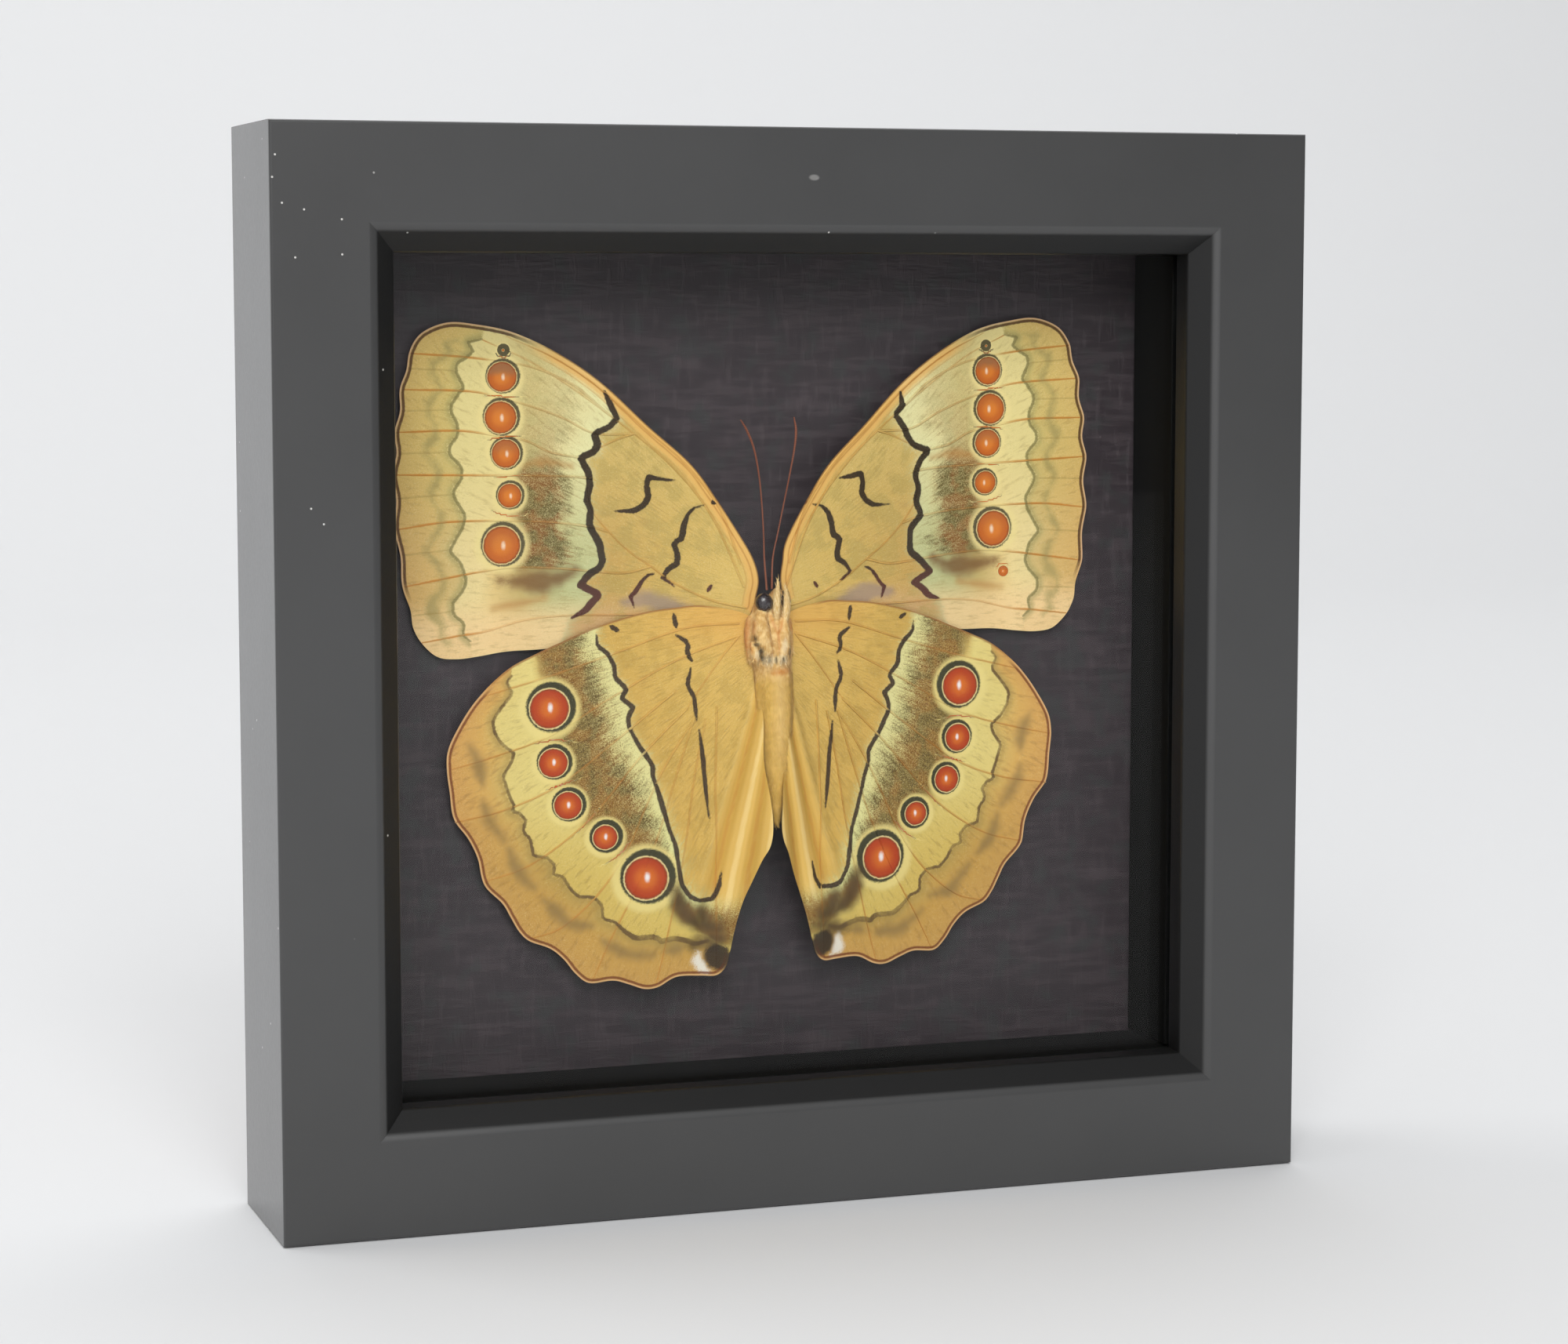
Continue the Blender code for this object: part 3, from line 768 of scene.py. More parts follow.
colour = colour.under(tone(124, 114, 66), wavy.fall(0.0, 0.22) * 0.8)
# the eyespots: a pale halo, a broken dark ring, a thin cream one, and an orange disc with a pale gleam
eye_x, eye_y, eye_disc = fore.held("eye_x"), fore.held("eye_y"), fore.held("eye_disc")
wobble = (fuzz - 0.5) * 0.1
eye = apart(eye_x, eye_y) + wobble
ring = apart(eye_x + 0.05, eye_y - 0.05) + wobble
colour = colour.under(tone(234, 214, 146), eye.fall(1.1, 1.5) * 0.8)
colour = colour.under(tone(52, 46, 32), (ring + (flecks - 0.5) * 0.14).fall(1.0, 1.08) * 0.9)
inner = eye - eye_disc
colour = colour.under(tone(222, 200, 140), inner.fall(0.04, 0.09))
colour = colour.under(tone(150, 76, 30), inner.fall(0.0, 0.04))
disc = fore.mix(tone(192, 98, 32), tone(216, 124, 44), eye.fall(0.2, 0.7))
disc = disc.under(tone(150, 106, 70), fore.held("eye_brown") * (eye_y + (smoke - 0.5)).rise(-0.2, 0.5) * 0.8)
colour = colour.under(disc, inner.fall(-0.1, -0.02))
pupil = apart((eye_x + 0.08) * 1.7, (eye_y + 0.02) * 0.9) + wobble
colour = colour.under(tone(242, 214, 186), pupil.fall(0.04, 0.26) * (eye_disc.rise(0.3, 0.4)) * 0.85)
# the dark zigzags
marks = fore.held("marks") + (fuzz - 0.5) * 0.36 + (smoke - 0.5) * 0.5
ink = fore.mix(tone(42, 32, 24), tone(78, 38, 36), up.fall(7.5, 12.0))
colour = colour.under(fore.mix(ink, tone(96, 64, 40), flecks.rise(0.55, 0.75)), marks.fall(-0.08, 0.14) * 0.97)
colour = colour.under(tone(74, 38, 20), (rim + (fuzz - 0.5) * 0.16).between(0.3, 0.8, 0.1) * outer * 0.9)
colour = colour.under(tone(206, 166, 130), rim.fall(0.16, 0.32) * outer * 0.85)
colour = colour.under(tone(112, 70, 36), rim.fall(0.1, 0.3) * costal * 0.8)
fore.feed(Base_Color=colour, Roughness=0.52 + flecks * 0.2)
fore.bump(flecks * 0.6 + ray * 0.6 + fuzz * 0.4, 0.3, 0.0001)

WING_STEP = 0.3
FORE_DEEP = 24.9
for side in ("left", "right"):
    wing, spots, loop = build_wing(
        f"forewing_{side}_scaled", side, FORE_ROOT[side] + FOREWING, FORE_VEINS, FORE_DEEP, fore_relief
    )
    rim, _, run = nearest(spots, loop)
    edge_gap = nearest(spots, through(FORE_MARGIN, 1.0))[0]
    # run is the share of the way round from the root: the costa's third, then the outer margin's
    outer = np.clip((0.665 - run) / 0.02, 0, 1) * np.clip((run - 0.315) / 0.03, 0, 1)
    costal = np.clip((0.33 - run) / 0.03, 0, 1)
    shift = np.array((0.7 if side == "left" else -0.4, 0))
    eyes = FORE_EYES if side == "left" else FORE_EYES + ((46.5, 8.6, 0.8, 0.95),)
    borders = (((24, 60), *FORE_MEDIAN[side], (37, -9)), FORE_ROW, ((44, 62), *FORE_WAVY, (49, -9)))
    zone = zones(spots, (5, 8), borders, edge_gap)
    x, y, disc, number = eye_places(spots, eyes)
    marks = np.minimum(
        strokes(spots, (FORE_MEDIAN[side],), 0.56, 0.05),
        np.minimum(
            strokes(spots, [np.array(m) + shift for m in FORE_MARKS], 0.5, 0.25, 0.2),
            strokes(spots, FORE_FINE_MARKS, 0.3, 0.3),
        ),
    )
    hold(
        wing,
        across=spots[:, 0],
        up=spots[:, 1],
        fan=np.arctan2(spots[:, 1] - 4, spots[:, 0] + 6) * 36,
        reach=np.hypot(spots[:, 0] + 6, spots[:, 1] - 4) * 0.12,
        zone=zone,
        rim=rim,
        outer=outer,
        costal=costal,
        marks=marks,
        vein=strokes(spots, FORE_VEINS, 0.14, sharp=False),
        crease=strokes(spots, FORE_CREASES, 0.1, sharp=False),
        wavy=strokes(spots, (FORE_WAVY,), 0.15, 0.05),
        smudge=strokes(spots, [np.array(FORE_WAVY) * (0.97, 1.0) + (5.4, 0)], 0.6, 0.1),
        dusk=strokes(spots, (((32.5, 11.6), (35, 10.4), (39, 9.9), (44.6, 10.4)),), 1.75, 0.4),
        streak=strokes(spots, (((37.5, 7.2), (41, 6.6), (46, 5.8)), ((32.5, 29.2), (36, 30), (41, 29.6))), 0.35, 0.4),
        slate=strokes(spots, (((12, 3.5), (16, 5), (20, 6.5), (24, 6)),), 1.5, 0.4),
        eye_x=x,
        eye_y=y,
        eye_disc=disc,
        eye_brown=np.where(number == 1, 1.0, np.where(number == 3, 0.5, 0.2)),
    )
    wing.data.materials.append(fore.material)
    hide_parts(f"forewing_{side}")
    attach(wing, "root")

# ---------------------------------------------------------------------------
# The hindwings: laid over the forewings' rear edges, broader and scalloped,
# with the inner half pleated like a fan. The two inner folds meet in front of
# the abdomen and then part.
HINDWING = (
    (3.0, 3.0), (10.5, 5.1), (16.0, 4.9), (21.5, 4.2), (29.0, 2.2), (35.5, -0.4), (39.5, -2.1), (43.5, -4.0),
    (47.0, -6.7), (50.0, -9.8), (52.6, -13.5), (54.6, -17.3), (55.0, -20.5), (54.6, -24.5), (54.0, -29.0),
    (51.6, -32.5), (50.0, -36.0), (49.0, -40.5), (46.0, -43.8), (44.6, -46.3), (43.2, -48.8), (41.5, -50.5),
    (38.0, -52.0), (35.7, -54.0), (33.8, -56.5), (31.5, -58.2), (27.5, -58.0), (24.8, -58.8), (22.0, -59.8),
    (19.6, -59.5), (16.5, -58.0), (12.5, -58.0), (9.8, -58.0), (8.2, -56.5), (7.5, -54.0), (6.5, -49.8),
    (5.2, -45.6), (3.8, -42.0), (2.4, -38.2), (1.2, -35.6), (0.8, -32.5), (1.2, -27.0), (2.0, -20.0),
    (2.0, -13.0), (1.8, -7.0), (1.8, -2.0),
)
HIND_MARGIN = HINDWING[7:34]
HIND_VEINS = (
    ((5, 2), (14, 1.5), (25, -2), (36, -5.5), (48.5, -8.8)),
    ((5, 0), (16, -4), (27, -10), (37.5, -16), (47, -19), (54.8, -20.8)),
    ((16, -9), (26, -17), (36, -24.3), (45, -28), (53.9, -29.6)),
    ((14, -12), (22, -20), (31.5, -30.8), (41, -37.5), (49.2, -40)),
    ((13, -14), (18, -22), (21.5, -29), (24.7, -36), (29.5, -43), (36, -48.5), (41.8, -50.2)),
    ((13, -14), (16.5, -25), (19.5, -34), (23.5, -43), (28, -51.5), (31, -57.8)),
    ((11, -14), (13, -24), (14.5, -34), (16.3, -43), (18.8, -54), (20.2, -59.4)),
    ((9, -12), (9.5, -26), (9.5, -40), (9.9, -57.6)),
    ((5, 0), (9, -5), (14, -12)),
)
HIND_MEDIAN = (
    (28.5, 0.9), (28.4, -1), (26.6, -2.5), (25.6, -4.5), (25.5, -6.5), (23.6, -8.5), (24.5, -10), (22.6, -11.6),
    (23.5, -13.5), (23.3, -15), (21.8, -18), (19.4, -21.6), (19.4, -23.5), (18.4, -26.6), (17, -32),
    (15.8, -35.4), (15.5, -38), (15, -42), (13.5, -44.3), (12, -45), (9.6, -45), (8.5, -43), (8, -40.3),
)
HIND_INNER = (
    ((16, 4), (15.6, 1.6)),
    ((15.8, 0.4), (13.6, -1), (14, -3), (13, -4.2)),
    ((13.3, -5.2), (14, -8.2), (12.8, -10.3), (12.5, -14.4)),
    ((12.1, -15.8), (11.4, -21.5), (11.2, -25), (10.6, -31)),
    ((26.8, 2.2), (25.4, 1.4)),
)
HIND_WAVY = (
    (43.5, -5.5), (44.5, -6.5), (43.5, -8.5), (46, -11.5), (47, -13), (46.6, -15), (45.6, -16.8), (44.4, -17.8),
    (43.4, -18.6), (43.8, -20), (45.4, -22.4), (45, -23.5), (44.4, -25.5), (43.6, -27.4), (44, -28.4),
    (42.6, -28.8), (41.6, -30), (42.1, -31.4), (41.8, -32.4), (41, -33), (40.5, -36), (38.2, -36.5), (37, -37.8),
    (37.2, -39.5), (35.6, -39.8), (34.4, -42), (33, -43.4), (30.5, -43.6), (29, -45), (29, -47.4), (27, -48),
    (25.2, -49.8), (23.5, -51), (20, -50.9), (19.1, -51.8), (17, -51.3), (14.5, -51.9), (13.2, -52.6), (11, -52),
)
HIND_SMUDGES = (
    ((51, -17), (49.6, -20), (49, -23.5)),
    ((49, -26.5), (48.2, -29), (47, -31), (45.5, -33)),
    ((44.5, -35), (44, -37), (42.6, -39.4), (40.5, -41.5)),
    ((38.8, -43.6), (36.5, -46), (34.6, -47.8), (31, -48.5)),
    ((29, -51.2), (27, -52.5), (24.5, -53.8), (20.5, -54)),
    ((18, -53.5), (15.5, -53)),
)
HIND_DUSK = (
    ((16.6, -43), (15.6, -46.4), (14.4, -48), (12.4, -49.6)), ((12.2, -46.6), (11.6, -49.5), (9.6, -50)),
    ((13.5, -52.4), (11, -52), (9.4, -51.8)),
)
HIND_EYES = (
    (37.3, -11.3, 4.15, 3.3), (36.8, -20.5, 2.95, 2.4), (34.5, -27.8, 2.85, 2.3), (28.3, -33.5, 2.8, 2.05),
    (21.5, -40.8, 4.6, 3.6),
)
HIND_ROW = (
    (42, 10), (37.3, -11.3), (36.8, -20.5), (34.5, -27.8), (28.3, -33.5), (21.5, -40.8), (15, -49), (8, -53), (-6, -55),
)


def pleats(spots):
    """The fan of the inner margin: each spot's angle in it, and the wave of its pleats there."""
    fan = np.arctan2(spots[:, 0] + 4.0, 16.0 - spots[:, 1])
    return fan, np.sin(fan * 72.0 + 0.5)


def hind_relief(spots):
    across, up = spots.T
    height = raised_root(spots, HIND_VEINS[:7], 0.14)
    begun = np.clip((-up - 4.0) / 10.0, 0, 1)
    height += 3.2 * begun * np.exp(-((across / 5) ** 2))
    # the pleats run down from the root, deepest along the middle of their length
    fan, wave = pleats(spots)
    height += 0.45 * wave * np.clip((0.33 - fan) / 0.08, 0, 1) * begun * np.clip((up + 60) / 14, 0, 1)
    height += 0.2 * np.sin(across * 0.25 + 0.6) * np.sin(up * 0.19 + 0.2)
    return height


hind = Finish("hindwing_scales", rough=0.6, Specular_IOR_Level=0.2)
fuzz, flecks, smoke, ray, zone, colour = scaly(
    hind,
    stops(
        (0.0, (216, 178, 96)), (0.12, (210, 172, 90)), (0.24, (204, 164, 82)), (0.255, (222, 214, 150)),
        (0.31, (216, 206, 140)), (0.4, (200, 172, 100)), (0.5, (206, 176, 100)), (0.57, (224, 204, 126)),
        (0.74, (224, 202, 124)), (0.76, (208, 176, 100)), (0.84, (214, 168, 90)), (1.0, (206, 154, 84)),
    ),
    stops(
        (0.0, (220, 180, 96)), (0.12, (212, 172, 84)), (0.24, (204, 164, 80)), (0.255, (218, 216, 150)),
        (0.31, (212, 208, 142)), (0.4, (190, 168, 98)), (0.5, (200, 176, 96)), (0.6, (212, 184, 98)),
        (0.74, (208, 178, 92)), (0.76, (184, 152, 78)), (0.84, (196, 152, 74)), (1.0, (198, 152, 80)),
    ),
    -42.0, -22.0,
)
across, up = hind.held("across"), hind.held("up")
fold = hind.held("fold")
colour = colour.under(tone(130, 94, 44), ray.rise(0.5, 0.7) * 0.3)
# smoky scales between the pale band and the eyespots, drawn out in fine rays into the band
smoky = (zone + (smoke - 0.5) * 0.34 + (ray - 0.5) * 0.16 + (flecks - 0.5) * 0.3).rise(1.06, 1.42)
smoky = smoky * (zone + (smoke - 0.5) * 0.4).fall(1.84, 2.14)
dust = (flecks + (ray - 0.5) * 0.5).rise(0.4, 0.6)
smoky = smoky * zone.rise(1.02, 1.1)
murk = hind.mix(tone(130, 88, 32), tone(96, 78, 34), smoke.rise(0.42, 0.6))
colour = colour.under(murk, smoky * (0.66 + dust * 0.32))
colour = colour.under(tone(84, 60, 32), flecks.rise(0.54, 0.68) * smoky * 0.55)
olive = (smoke + (ray - 0.5) * 0.4).rise(0.42, 0.62) * zone.between(0.2, 0.99, 0.08)
colour = colour.under(tone(178, 146, 70), olive * 0.45)
colour = colour.under(tone(112, 82, 40), flecks.rise(0.56, 0.7) * 0.2)
colour = colour.under(tone(244, 226, 170), flecks.fall(0.3, 0.44) * 0.25)
# the fan of the inner margin in gold, striped in step with its pleats: painted highlight along their crests and painted
# shade in their hollows
pleat = hind.held("pleat") + (ray - 0.5) * 0.5
gold = hind.mix(tone(204, 160, 72), tone(226, 184, 98), pleat.rise(-0.7, 0.3))
gold = gold.under(tone(242, 208, 136), pleat.rise(0.7, 0.98) * 0.8)
gold = gold.under(tone(184, 124, 46), pleat.fall(-1.0, -0.82) * 0.5)
colour = colour.under(gold, fold.rise(0.1, 0.7) * 0.92)
colour = colour.under(tone(226, 158, 72), up.rise(-6.0, 4.0) * zone.fall(0.2, 0.9) * 0.35)
# the veins, the smudged outer margin and its scalloped inner line
rim, outer, costal = hind.held("rim"), hind.held("outer"), hind.held("costal")
vein = hind.held("vein") + (fuzz - 0.5) * 0.12
colour = colour.under(tone(196, 134, 58), vein.fall(-0.05, 0.16) * (0.3 + zone.rise(1.2, 3.0) * 0.3))
smudge = hind.held("smudge") + (smoke - 0.5) * 2.0 + (flecks - 0.5) * 1.6
colour = colour.under(tone(132, 108, 66), smudge.fall(-1.2, 1.1) * 0.74)
wavy = hind.held("wavy") + (fuzz - 0.5) * 0.36
colour = colour.under(tone(160, 132, 70), (wavy + (smoke - 0.5) * 0.9).fall(0.0, 1.5) * zone.rise(2.98, 3.06) * 0.6)
colour = colour.under(tone(104, 80, 46), wavy.fall(0.0, 0.24) * (0.6 + smoke.rise(0.4, 0.6) * 0.36))
# the eyespots, as on the forewings but redder, with a whiter gleam
eye_x, eye_y, eye_disc = hind.held("eye_x"), hind.held("eye_y"), hind.held("eye_disc")
wobble = (fuzz - 0.5) * 0.09
eye = apart(eye_x, eye_y) + wobble
ring = apart(eye_x + 0.07, eye_y - 0.07) + wobble
colour = colour.under(tone(230, 210, 134), eye.fall(1.12, 1.42) * 0.85)
colour = colour.under(tone(40, 42, 28), (ring + (flecks - 0.5) * 0.14).fall(0.98, 1.07) * 0.96)
inner = eye - eye_disc
colour = colour.under(tone(226, 206, 146), inner.fall(0.03, 0.08))
colour = colour.under(tone(142, 58, 24), inner.fall(-0.02, 0.03))
disc = hind.mix(tone(176, 62, 22), tone(210, 108, 36), (eye + (fuzz - 0.5) * 0.2).fall(0.12, 0.66))
colour = colour.under(disc, inner.fall(-0.12, -0.02))
pupil = apart((eye_x + 0.04) * 1.6, (eye_y - 0.04) * 0.9) + wobble
colour = colour.under(tone(240, 232, 232), pupil.fall(0.04, 0.24) * 0.95)
# dusky speckles, and the white and black of the tornus
dusk = hind.held("dusk") + (smoke - 0.5) * 2.2 + (flecks - 0.5) * 3.0
colour = colour.under(tone(78, 58, 34), dusk.fall(-1.3, 1.5) * 0.85)
white = hind.held("white") + (smoke - 0.5) * 1.8 + (flecks - 0.5) * 2.2
colour = colour.under(tone(230, 224, 212), white.fall(-0.5, 0.7) * 0.9)
speck = hind.held("black") + (flecks - 0.5) * 1.4
colour = colour.under(tone(40, 32, 26), speck.fall(-0.5, 0.5) * 0.94)
# the dark zigzags, and the outer edge with its rusty line and pale fringe
marks = hind.held("marks") + (fuzz - 0.5) * 0.36 + (smoke - 0.5) * 0.4
ink = hind.mix(tone(48, 36, 28), tone(88, 62, 40), flecks.rise(0.5, 0.7))
colour = colour.under(ink, marks.fall(-0.1, 0.14) * 0.96)
colour = colour.under(tone(112, 50, 24), (rim + (fuzz - 0.5) * 0.16).between(0.32, 0.74, 0.1) * outer * 0.85)
colour = colour.under(tone(212, 168, 118), rim.fall(0.18, 0.34) * outer * 0.85)
colour = colour.under(tone(150, 100, 54), rim.fall(0.15, 0.4) * costal * 0.8)
hind.feed(Base_Color=colour, Roughness=0.52 + flecks * 0.2)
hind.bump(flecks * 0.6 + ray * 0.7 + fuzz * 0.4, 0.35, 0.00012)

HIND_DEEP = 24.0
for side in ("left", "right"):
    wing, spots, loop = build_wing(
        f"hindwing_{side}_scaled", side, HINDWING, HIND_VEINS, HIND_DEEP, hind_relief
    )
    rim, _, run = nearest(spots, loop)
    across, up = spots.T
    edge_gap = nearest(spots, through(HIND_MARGIN, 1.0))[0]
    outer = np.clip((across - 8) / 2, 0, 1) * np.clip((-7 - up) / 2, 0, 1)
    costal = np.clip((up + 8) / 3, 0, 1) * np.clip((across - 8) / 3, 0, 1)
    shift = np.array((0.6 if side == "left" else -0.3, 0))
    median = [tuple(np.array(spot) + shift) for spot in HIND_MEDIAN]
    borders = (((29, 12), *median[:-2], (4, -42), (-6, -36)), HIND_ROW, ((46, 12), *HIND_WAVY, (9, -54), (-6, -56)))
    zone = zones(spots, (5, 0), borders, edge_gap)
    x, y, disc, _ = eye_places(spots, HIND_EYES)
    fan, wave = pleats(spots)
    hold(
        wing,
        across=across,
        up=up,
        fan=np.arctan2(up - 3, across + 8) * 36,
        reach=np.hypot(across + 8, up - 3) * 0.12,
        zone=zone,
        rim=rim,
        outer=outer,
        costal=costal,
        fold=np.clip((0.3 - fan) / 0.1, 0, 1) * np.clip((-up - 1) / 8, 0, 1) * np.clip((up + 50) / 9, 0, 1),
        pleat=wave,
        marks=np.minimum(strokes(spots, (median,), 0.38, 0.04), strokes(spots, HIND_INNER, 0.36, 0.2)),
        vein=strokes(spots, HIND_VEINS, 0.13, sharp=False),
        wavy=np.minimum(strokes(spots, (HIND_WAVY,), 0.15, 0.05), strokes(spots, (HIND_WAVY[-9:],), 0.34, 0.2)),
        smudge=strokes(spots, HIND_SMUDGES, 1.0, 0.25, sharp=False),
        dusk=strokes(spots, HIND_DUSK, 1.25, 0.3, 0.7),
        white=strokes(spots, (((12.7, -54.4), (12.9, -55.8), (11.4, -57.2)),), 0.9, 0.4),
        black=strokes(spots, (((9.2, -55.2), (9.8, -54.6)),), 2.3, 0.2, 0.9),
        eye_x=x,
        eye_y=y,
        eye_disc=disc,
    )
    wing.data.materials.append(hind.material)
    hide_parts(f"hindwing_{side}")
    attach(wing, "root")

# ---------------------------------------------------------------------------
# The body: head, thorax and a slender abdomen in one piece, clothed in soft
# cream hair-scales, with the front legs folded flat against the breast. The
# black eye, the upright palps and the leg tips show from the front.
def in_case(across, up, deep):
    """A place on the specimen: across to the right and up from its middle, and behind the face."""
    cos, sin = math.cos(LEAN), math.sin(LEAN)
    return Vector(
        (AXIS.x + (across * cos - up * sin) * MM, FRONT + deep * MM, AXIS.z + (across * sin + up * cos) * MM)
    )


def joined(pieces, name):
    """Pieces made into one, under one name."""
    bpy.ops.object.select_all(action="DESELECT")
    for part in pieces:
        part.select_set(True)
    bpy.context.view_layer.objects.active = pieces[0]
    bpy.ops.object.join()
    piece = bpy.context.object
    piece.name = piece.data.name = name
    return piece


def limb(paths, name, grain, smooth):
    """One grown form from balls of given radii set along paths, fused and smoothed."""
    made = []
    for path in paths:
        for across, up, deep, radius in through(path, 0.45):
            bpy.ops.mesh.primitive_ico_sphere_add(
                subdivisions=2, radius=radius * MM, location=in_case(across, up, deep)
            )
            made.append(bpy.context.object)
    piece = joined(made, name)
    bpy.ops.object.transform_apply()
    fused = piece.modifiers.new("fused", "REMESH")
    fused.mode, fused.voxel_size = "VOXEL", grain * MM
    bpy.ops.object.modifier_apply(modifier="fused")
    eased = piece.modifiers.new("eased", "SMOOTH")
    eased.factor, eased.iterations = 0.5, smooth
    bpy.ops.object.modifier_apply(modifier="eased")
    bpy.ops.object.shade_smooth()
    return piece


def points_of(piece):
    """A piece's points, as rows of x, y and z."""
    spots = np.zeros(len(piece.data.vertices) * 3)
    piece.data.vertices.foreach_get("co", spots)
    return spots.reshape(-1, 3)


def flat_spots(points):
    """Where points lie on the specimen: across and up from its middle, in mm."""
    cos, sin = math.cos(LEAN), math.sin(LEAN)
    flat = np.column_stack((points[:, 0] - AXIS.x, points[:, 2] - AXIS.z)) / MM
    return flat @ np.array(((cos, -sin), (sin, cos)))


BREAST = (
    ((-0.1, 4.4, 18.6, 2.3), (0.0, 2.6, 18.4, 3.2), (0.1, -0.6, 18.2, 3.7), (0.3, -4.2, 18.0, 3.5)),
    ((-3.1, 2.6, 18.3, 0.9), (-3.4, 0.2, 18.2, 1.0), (-3.0, -3.8, 18.2, 1.0)),
    ((3.4, 2.2, 18.8, 0.8), (3.7, 0.0, 18.8, 0.8), (3.7, -3.0, 18.8, 0.8)),
    ((0.9, 5.6, 17.8, 1.3), (1.4, 7.0, 17.6, 1.0)),
)
FORELEGS = (
    ((-1.9, 4.6, 16.0, 0.9), (-2.4, 2.4, 15.3, 1.35), (-2.2, 0.0, 15.1, 1.5), (-1.3, -2.4, 15.0, 0.95)),
    ((1.6, 2.6, 15.4, 0.7), (1.6, 0.6, 15.1, 1.1), (1.5, -1.6, 15.0, 1.1), (1.35, -3.2, 14.9, 0.8)),
    ((-3.7, -1.3, 16.2, 0.5), (-3.3, -2.8, 15.8, 0.75), (-3.1, -4.0, 15.6, 0.5)),
    ((0.1, -0.6, 15.2, 0.5), (0.1, -2.6, 15.1, 0.6)),
)
ABDOMEN = (
    ((0.4, -5.2, 18.0, 3.3), (0.5, -8.0, 18.2, 3.5), (0.6, -12.0, 18.3, 3.5), (0.7, -17.0, 18.0, 3.0),
     (0.8, -22.0, 17.9, 2.4), (0.8, -26.5, 17.8, 1.7), (0.8, -30.0, 17.8, 1.1), (0.8, -32.6, 18.0, 0.5)),
)
TOES = (
    ((-1.5, -3.2, 15.0, 0.34), (-1.5, -4.8, 14.9, 0.26)),
    ((-0.75, -3.3, 14.8, 0.34), (-0.7, -5.0, 14.8, 0.26)),
    ((0.85, -3.3, 14.8, 0.34), (0.85, -5.1, 14.8, 0.26)),
    ((1.75, -3.6, 14.9, 0.34), (1.85, -5.0, 14.9, 0.26)),
)
down = Finish("body_down", rough=0.8, Sheen_Weight=0.08, Sheen_Roughness=0.5)
tuft_tone = down.noise(0.0009, 3)
fine_tone = down.noise(0.00022, 3)
colour = down.mix(tone(218, 172, 98), tone(240, 206, 142), tuft_tone.rise(0.36, 0.64))
# the abdomen is a plainer gold, with a painted highlight down its middle
gold = down.mix(tone(206, 164, 74), tone(220, 178, 88), tuft_tone.rise(0.3, 0.7))
colour = colour.under(down.mix(gold, tone(238, 202, 132), down.held("middle") * 0.6), down.held("tail"))
colour = colour.under(tone(250, 226, 178), fine_tone.rise(0.55, 0.75) * (0.5 - down.held("tail") * 0.3))
colour = colour.under(tone(212, 132, 52), down.held("ginger") * 0.75)
colour = colour.under(tone(40, 28, 20), down.held("gloom") * 0.92)
colour = colour.under(tone(238, 222, 186), down.held("pale") * 0.6)
down.feed(Base_Color=colour, Roughness=0.7 + fine_tone * 0.2)
down.bump(fine_tone, 0.4, 0.0001)

body = joined(
    [
        limb(BREAST, "body_breast", 0.28, 3),
        limb(FORELEGS, "body_forelegs", 0.28, 3),
        limb(ABDOMEN, "body_abdomen", 0.28, 3),
        limb(TOES, "body_toes", 0.16, 1),
    ],
    "body_clothed",
)


def blades(piece, count, long, wide, flow, seed):
    """Lay tapered hair-scales over a piece, each rooted in its skin and lying along the flow."""
    chance = np.random.default_rng(seed)
    mesh = piece.data
    mesh.calc_loop_triangles()
    corners = np.zeros(len(mesh.loop_triangles) * 3, int)
    mesh.loop_triangles.foreach_get("vertices", corners)
    corners = points_of(piece)[corners.reshape(-1, 3)]
    cross = np.cross(corners[:, 1] - corners[:, 0], corners[:, 2] - corners[:, 0])
    area = np.linalg.norm(cross, axis=1)
    out = cross / np.maximum(area[:, None], 1e-16)
    weight = area * (out[:, 1] < 0.35)
    picked = chance.choice(len(area), count, p=weight / weight.sum())
    first, second = np.sort(chance.random((2, count)), axis=0)
    share = np.column_stack((first, second - first, 1 - second))
    root = (corners[picked] * share[:, :, None]).sum(axis=1)
    out = out[picked]
    way = flow(root) + chance.normal(0, 0.22, (count, 3))
    way -= out * (way * out).sum(axis=1)[:, None]
    way /= np.maximum(np.linalg.norm(way, axis=1)[:, None], 1e-9)
    side = np.cross(way, out)
    length = (long * MM * chance.uniform(0.6, 1.25, count))[:, None]
    half = (wide * MM * chance.uniform(0.7, 1.3, count))[:, None]
    lift = chance.uniform(0.08, 0.36, count)[:, None]
    root = root - out * 0.05 * MM
    middle = root + (way + out * lift) * length * 0.55
    tip = root + (way + out * lift * 0.8) * length
    foot, waist = side * half, side * half * 0.8
    points = np.stack((root - foot, root + foot, middle + waist, middle - waist, tip), 1)
    base = np.arange(count)[:, None] * 5
    faces = [tuple(f) for f in base + (0, 1, 2, 3)] + [tuple(f) for f in base + (3, 2, 4)]
    made = bpy.data.meshes.new(piece.name + "_hair")
    made.from_pydata(points.reshape(-1, 3).tolist(), [], faces)
    hair = bpy.data.objects.new(made.name, made)
    bpy.context.collection.objects.link(hair)
    joined((piece, hair), piece.name)


def downward(root):
    """Hair runs back from the head along the body, parting a little to each side."""
    across = (root[:, 0] - AXIS.x) / MM
    return np.column_stack((across * 0.07, np.full(len(root), -0.1), np.full(len(root), -1.0)))


blades(body, 9000, 1.25, 0.055, downward, 7)
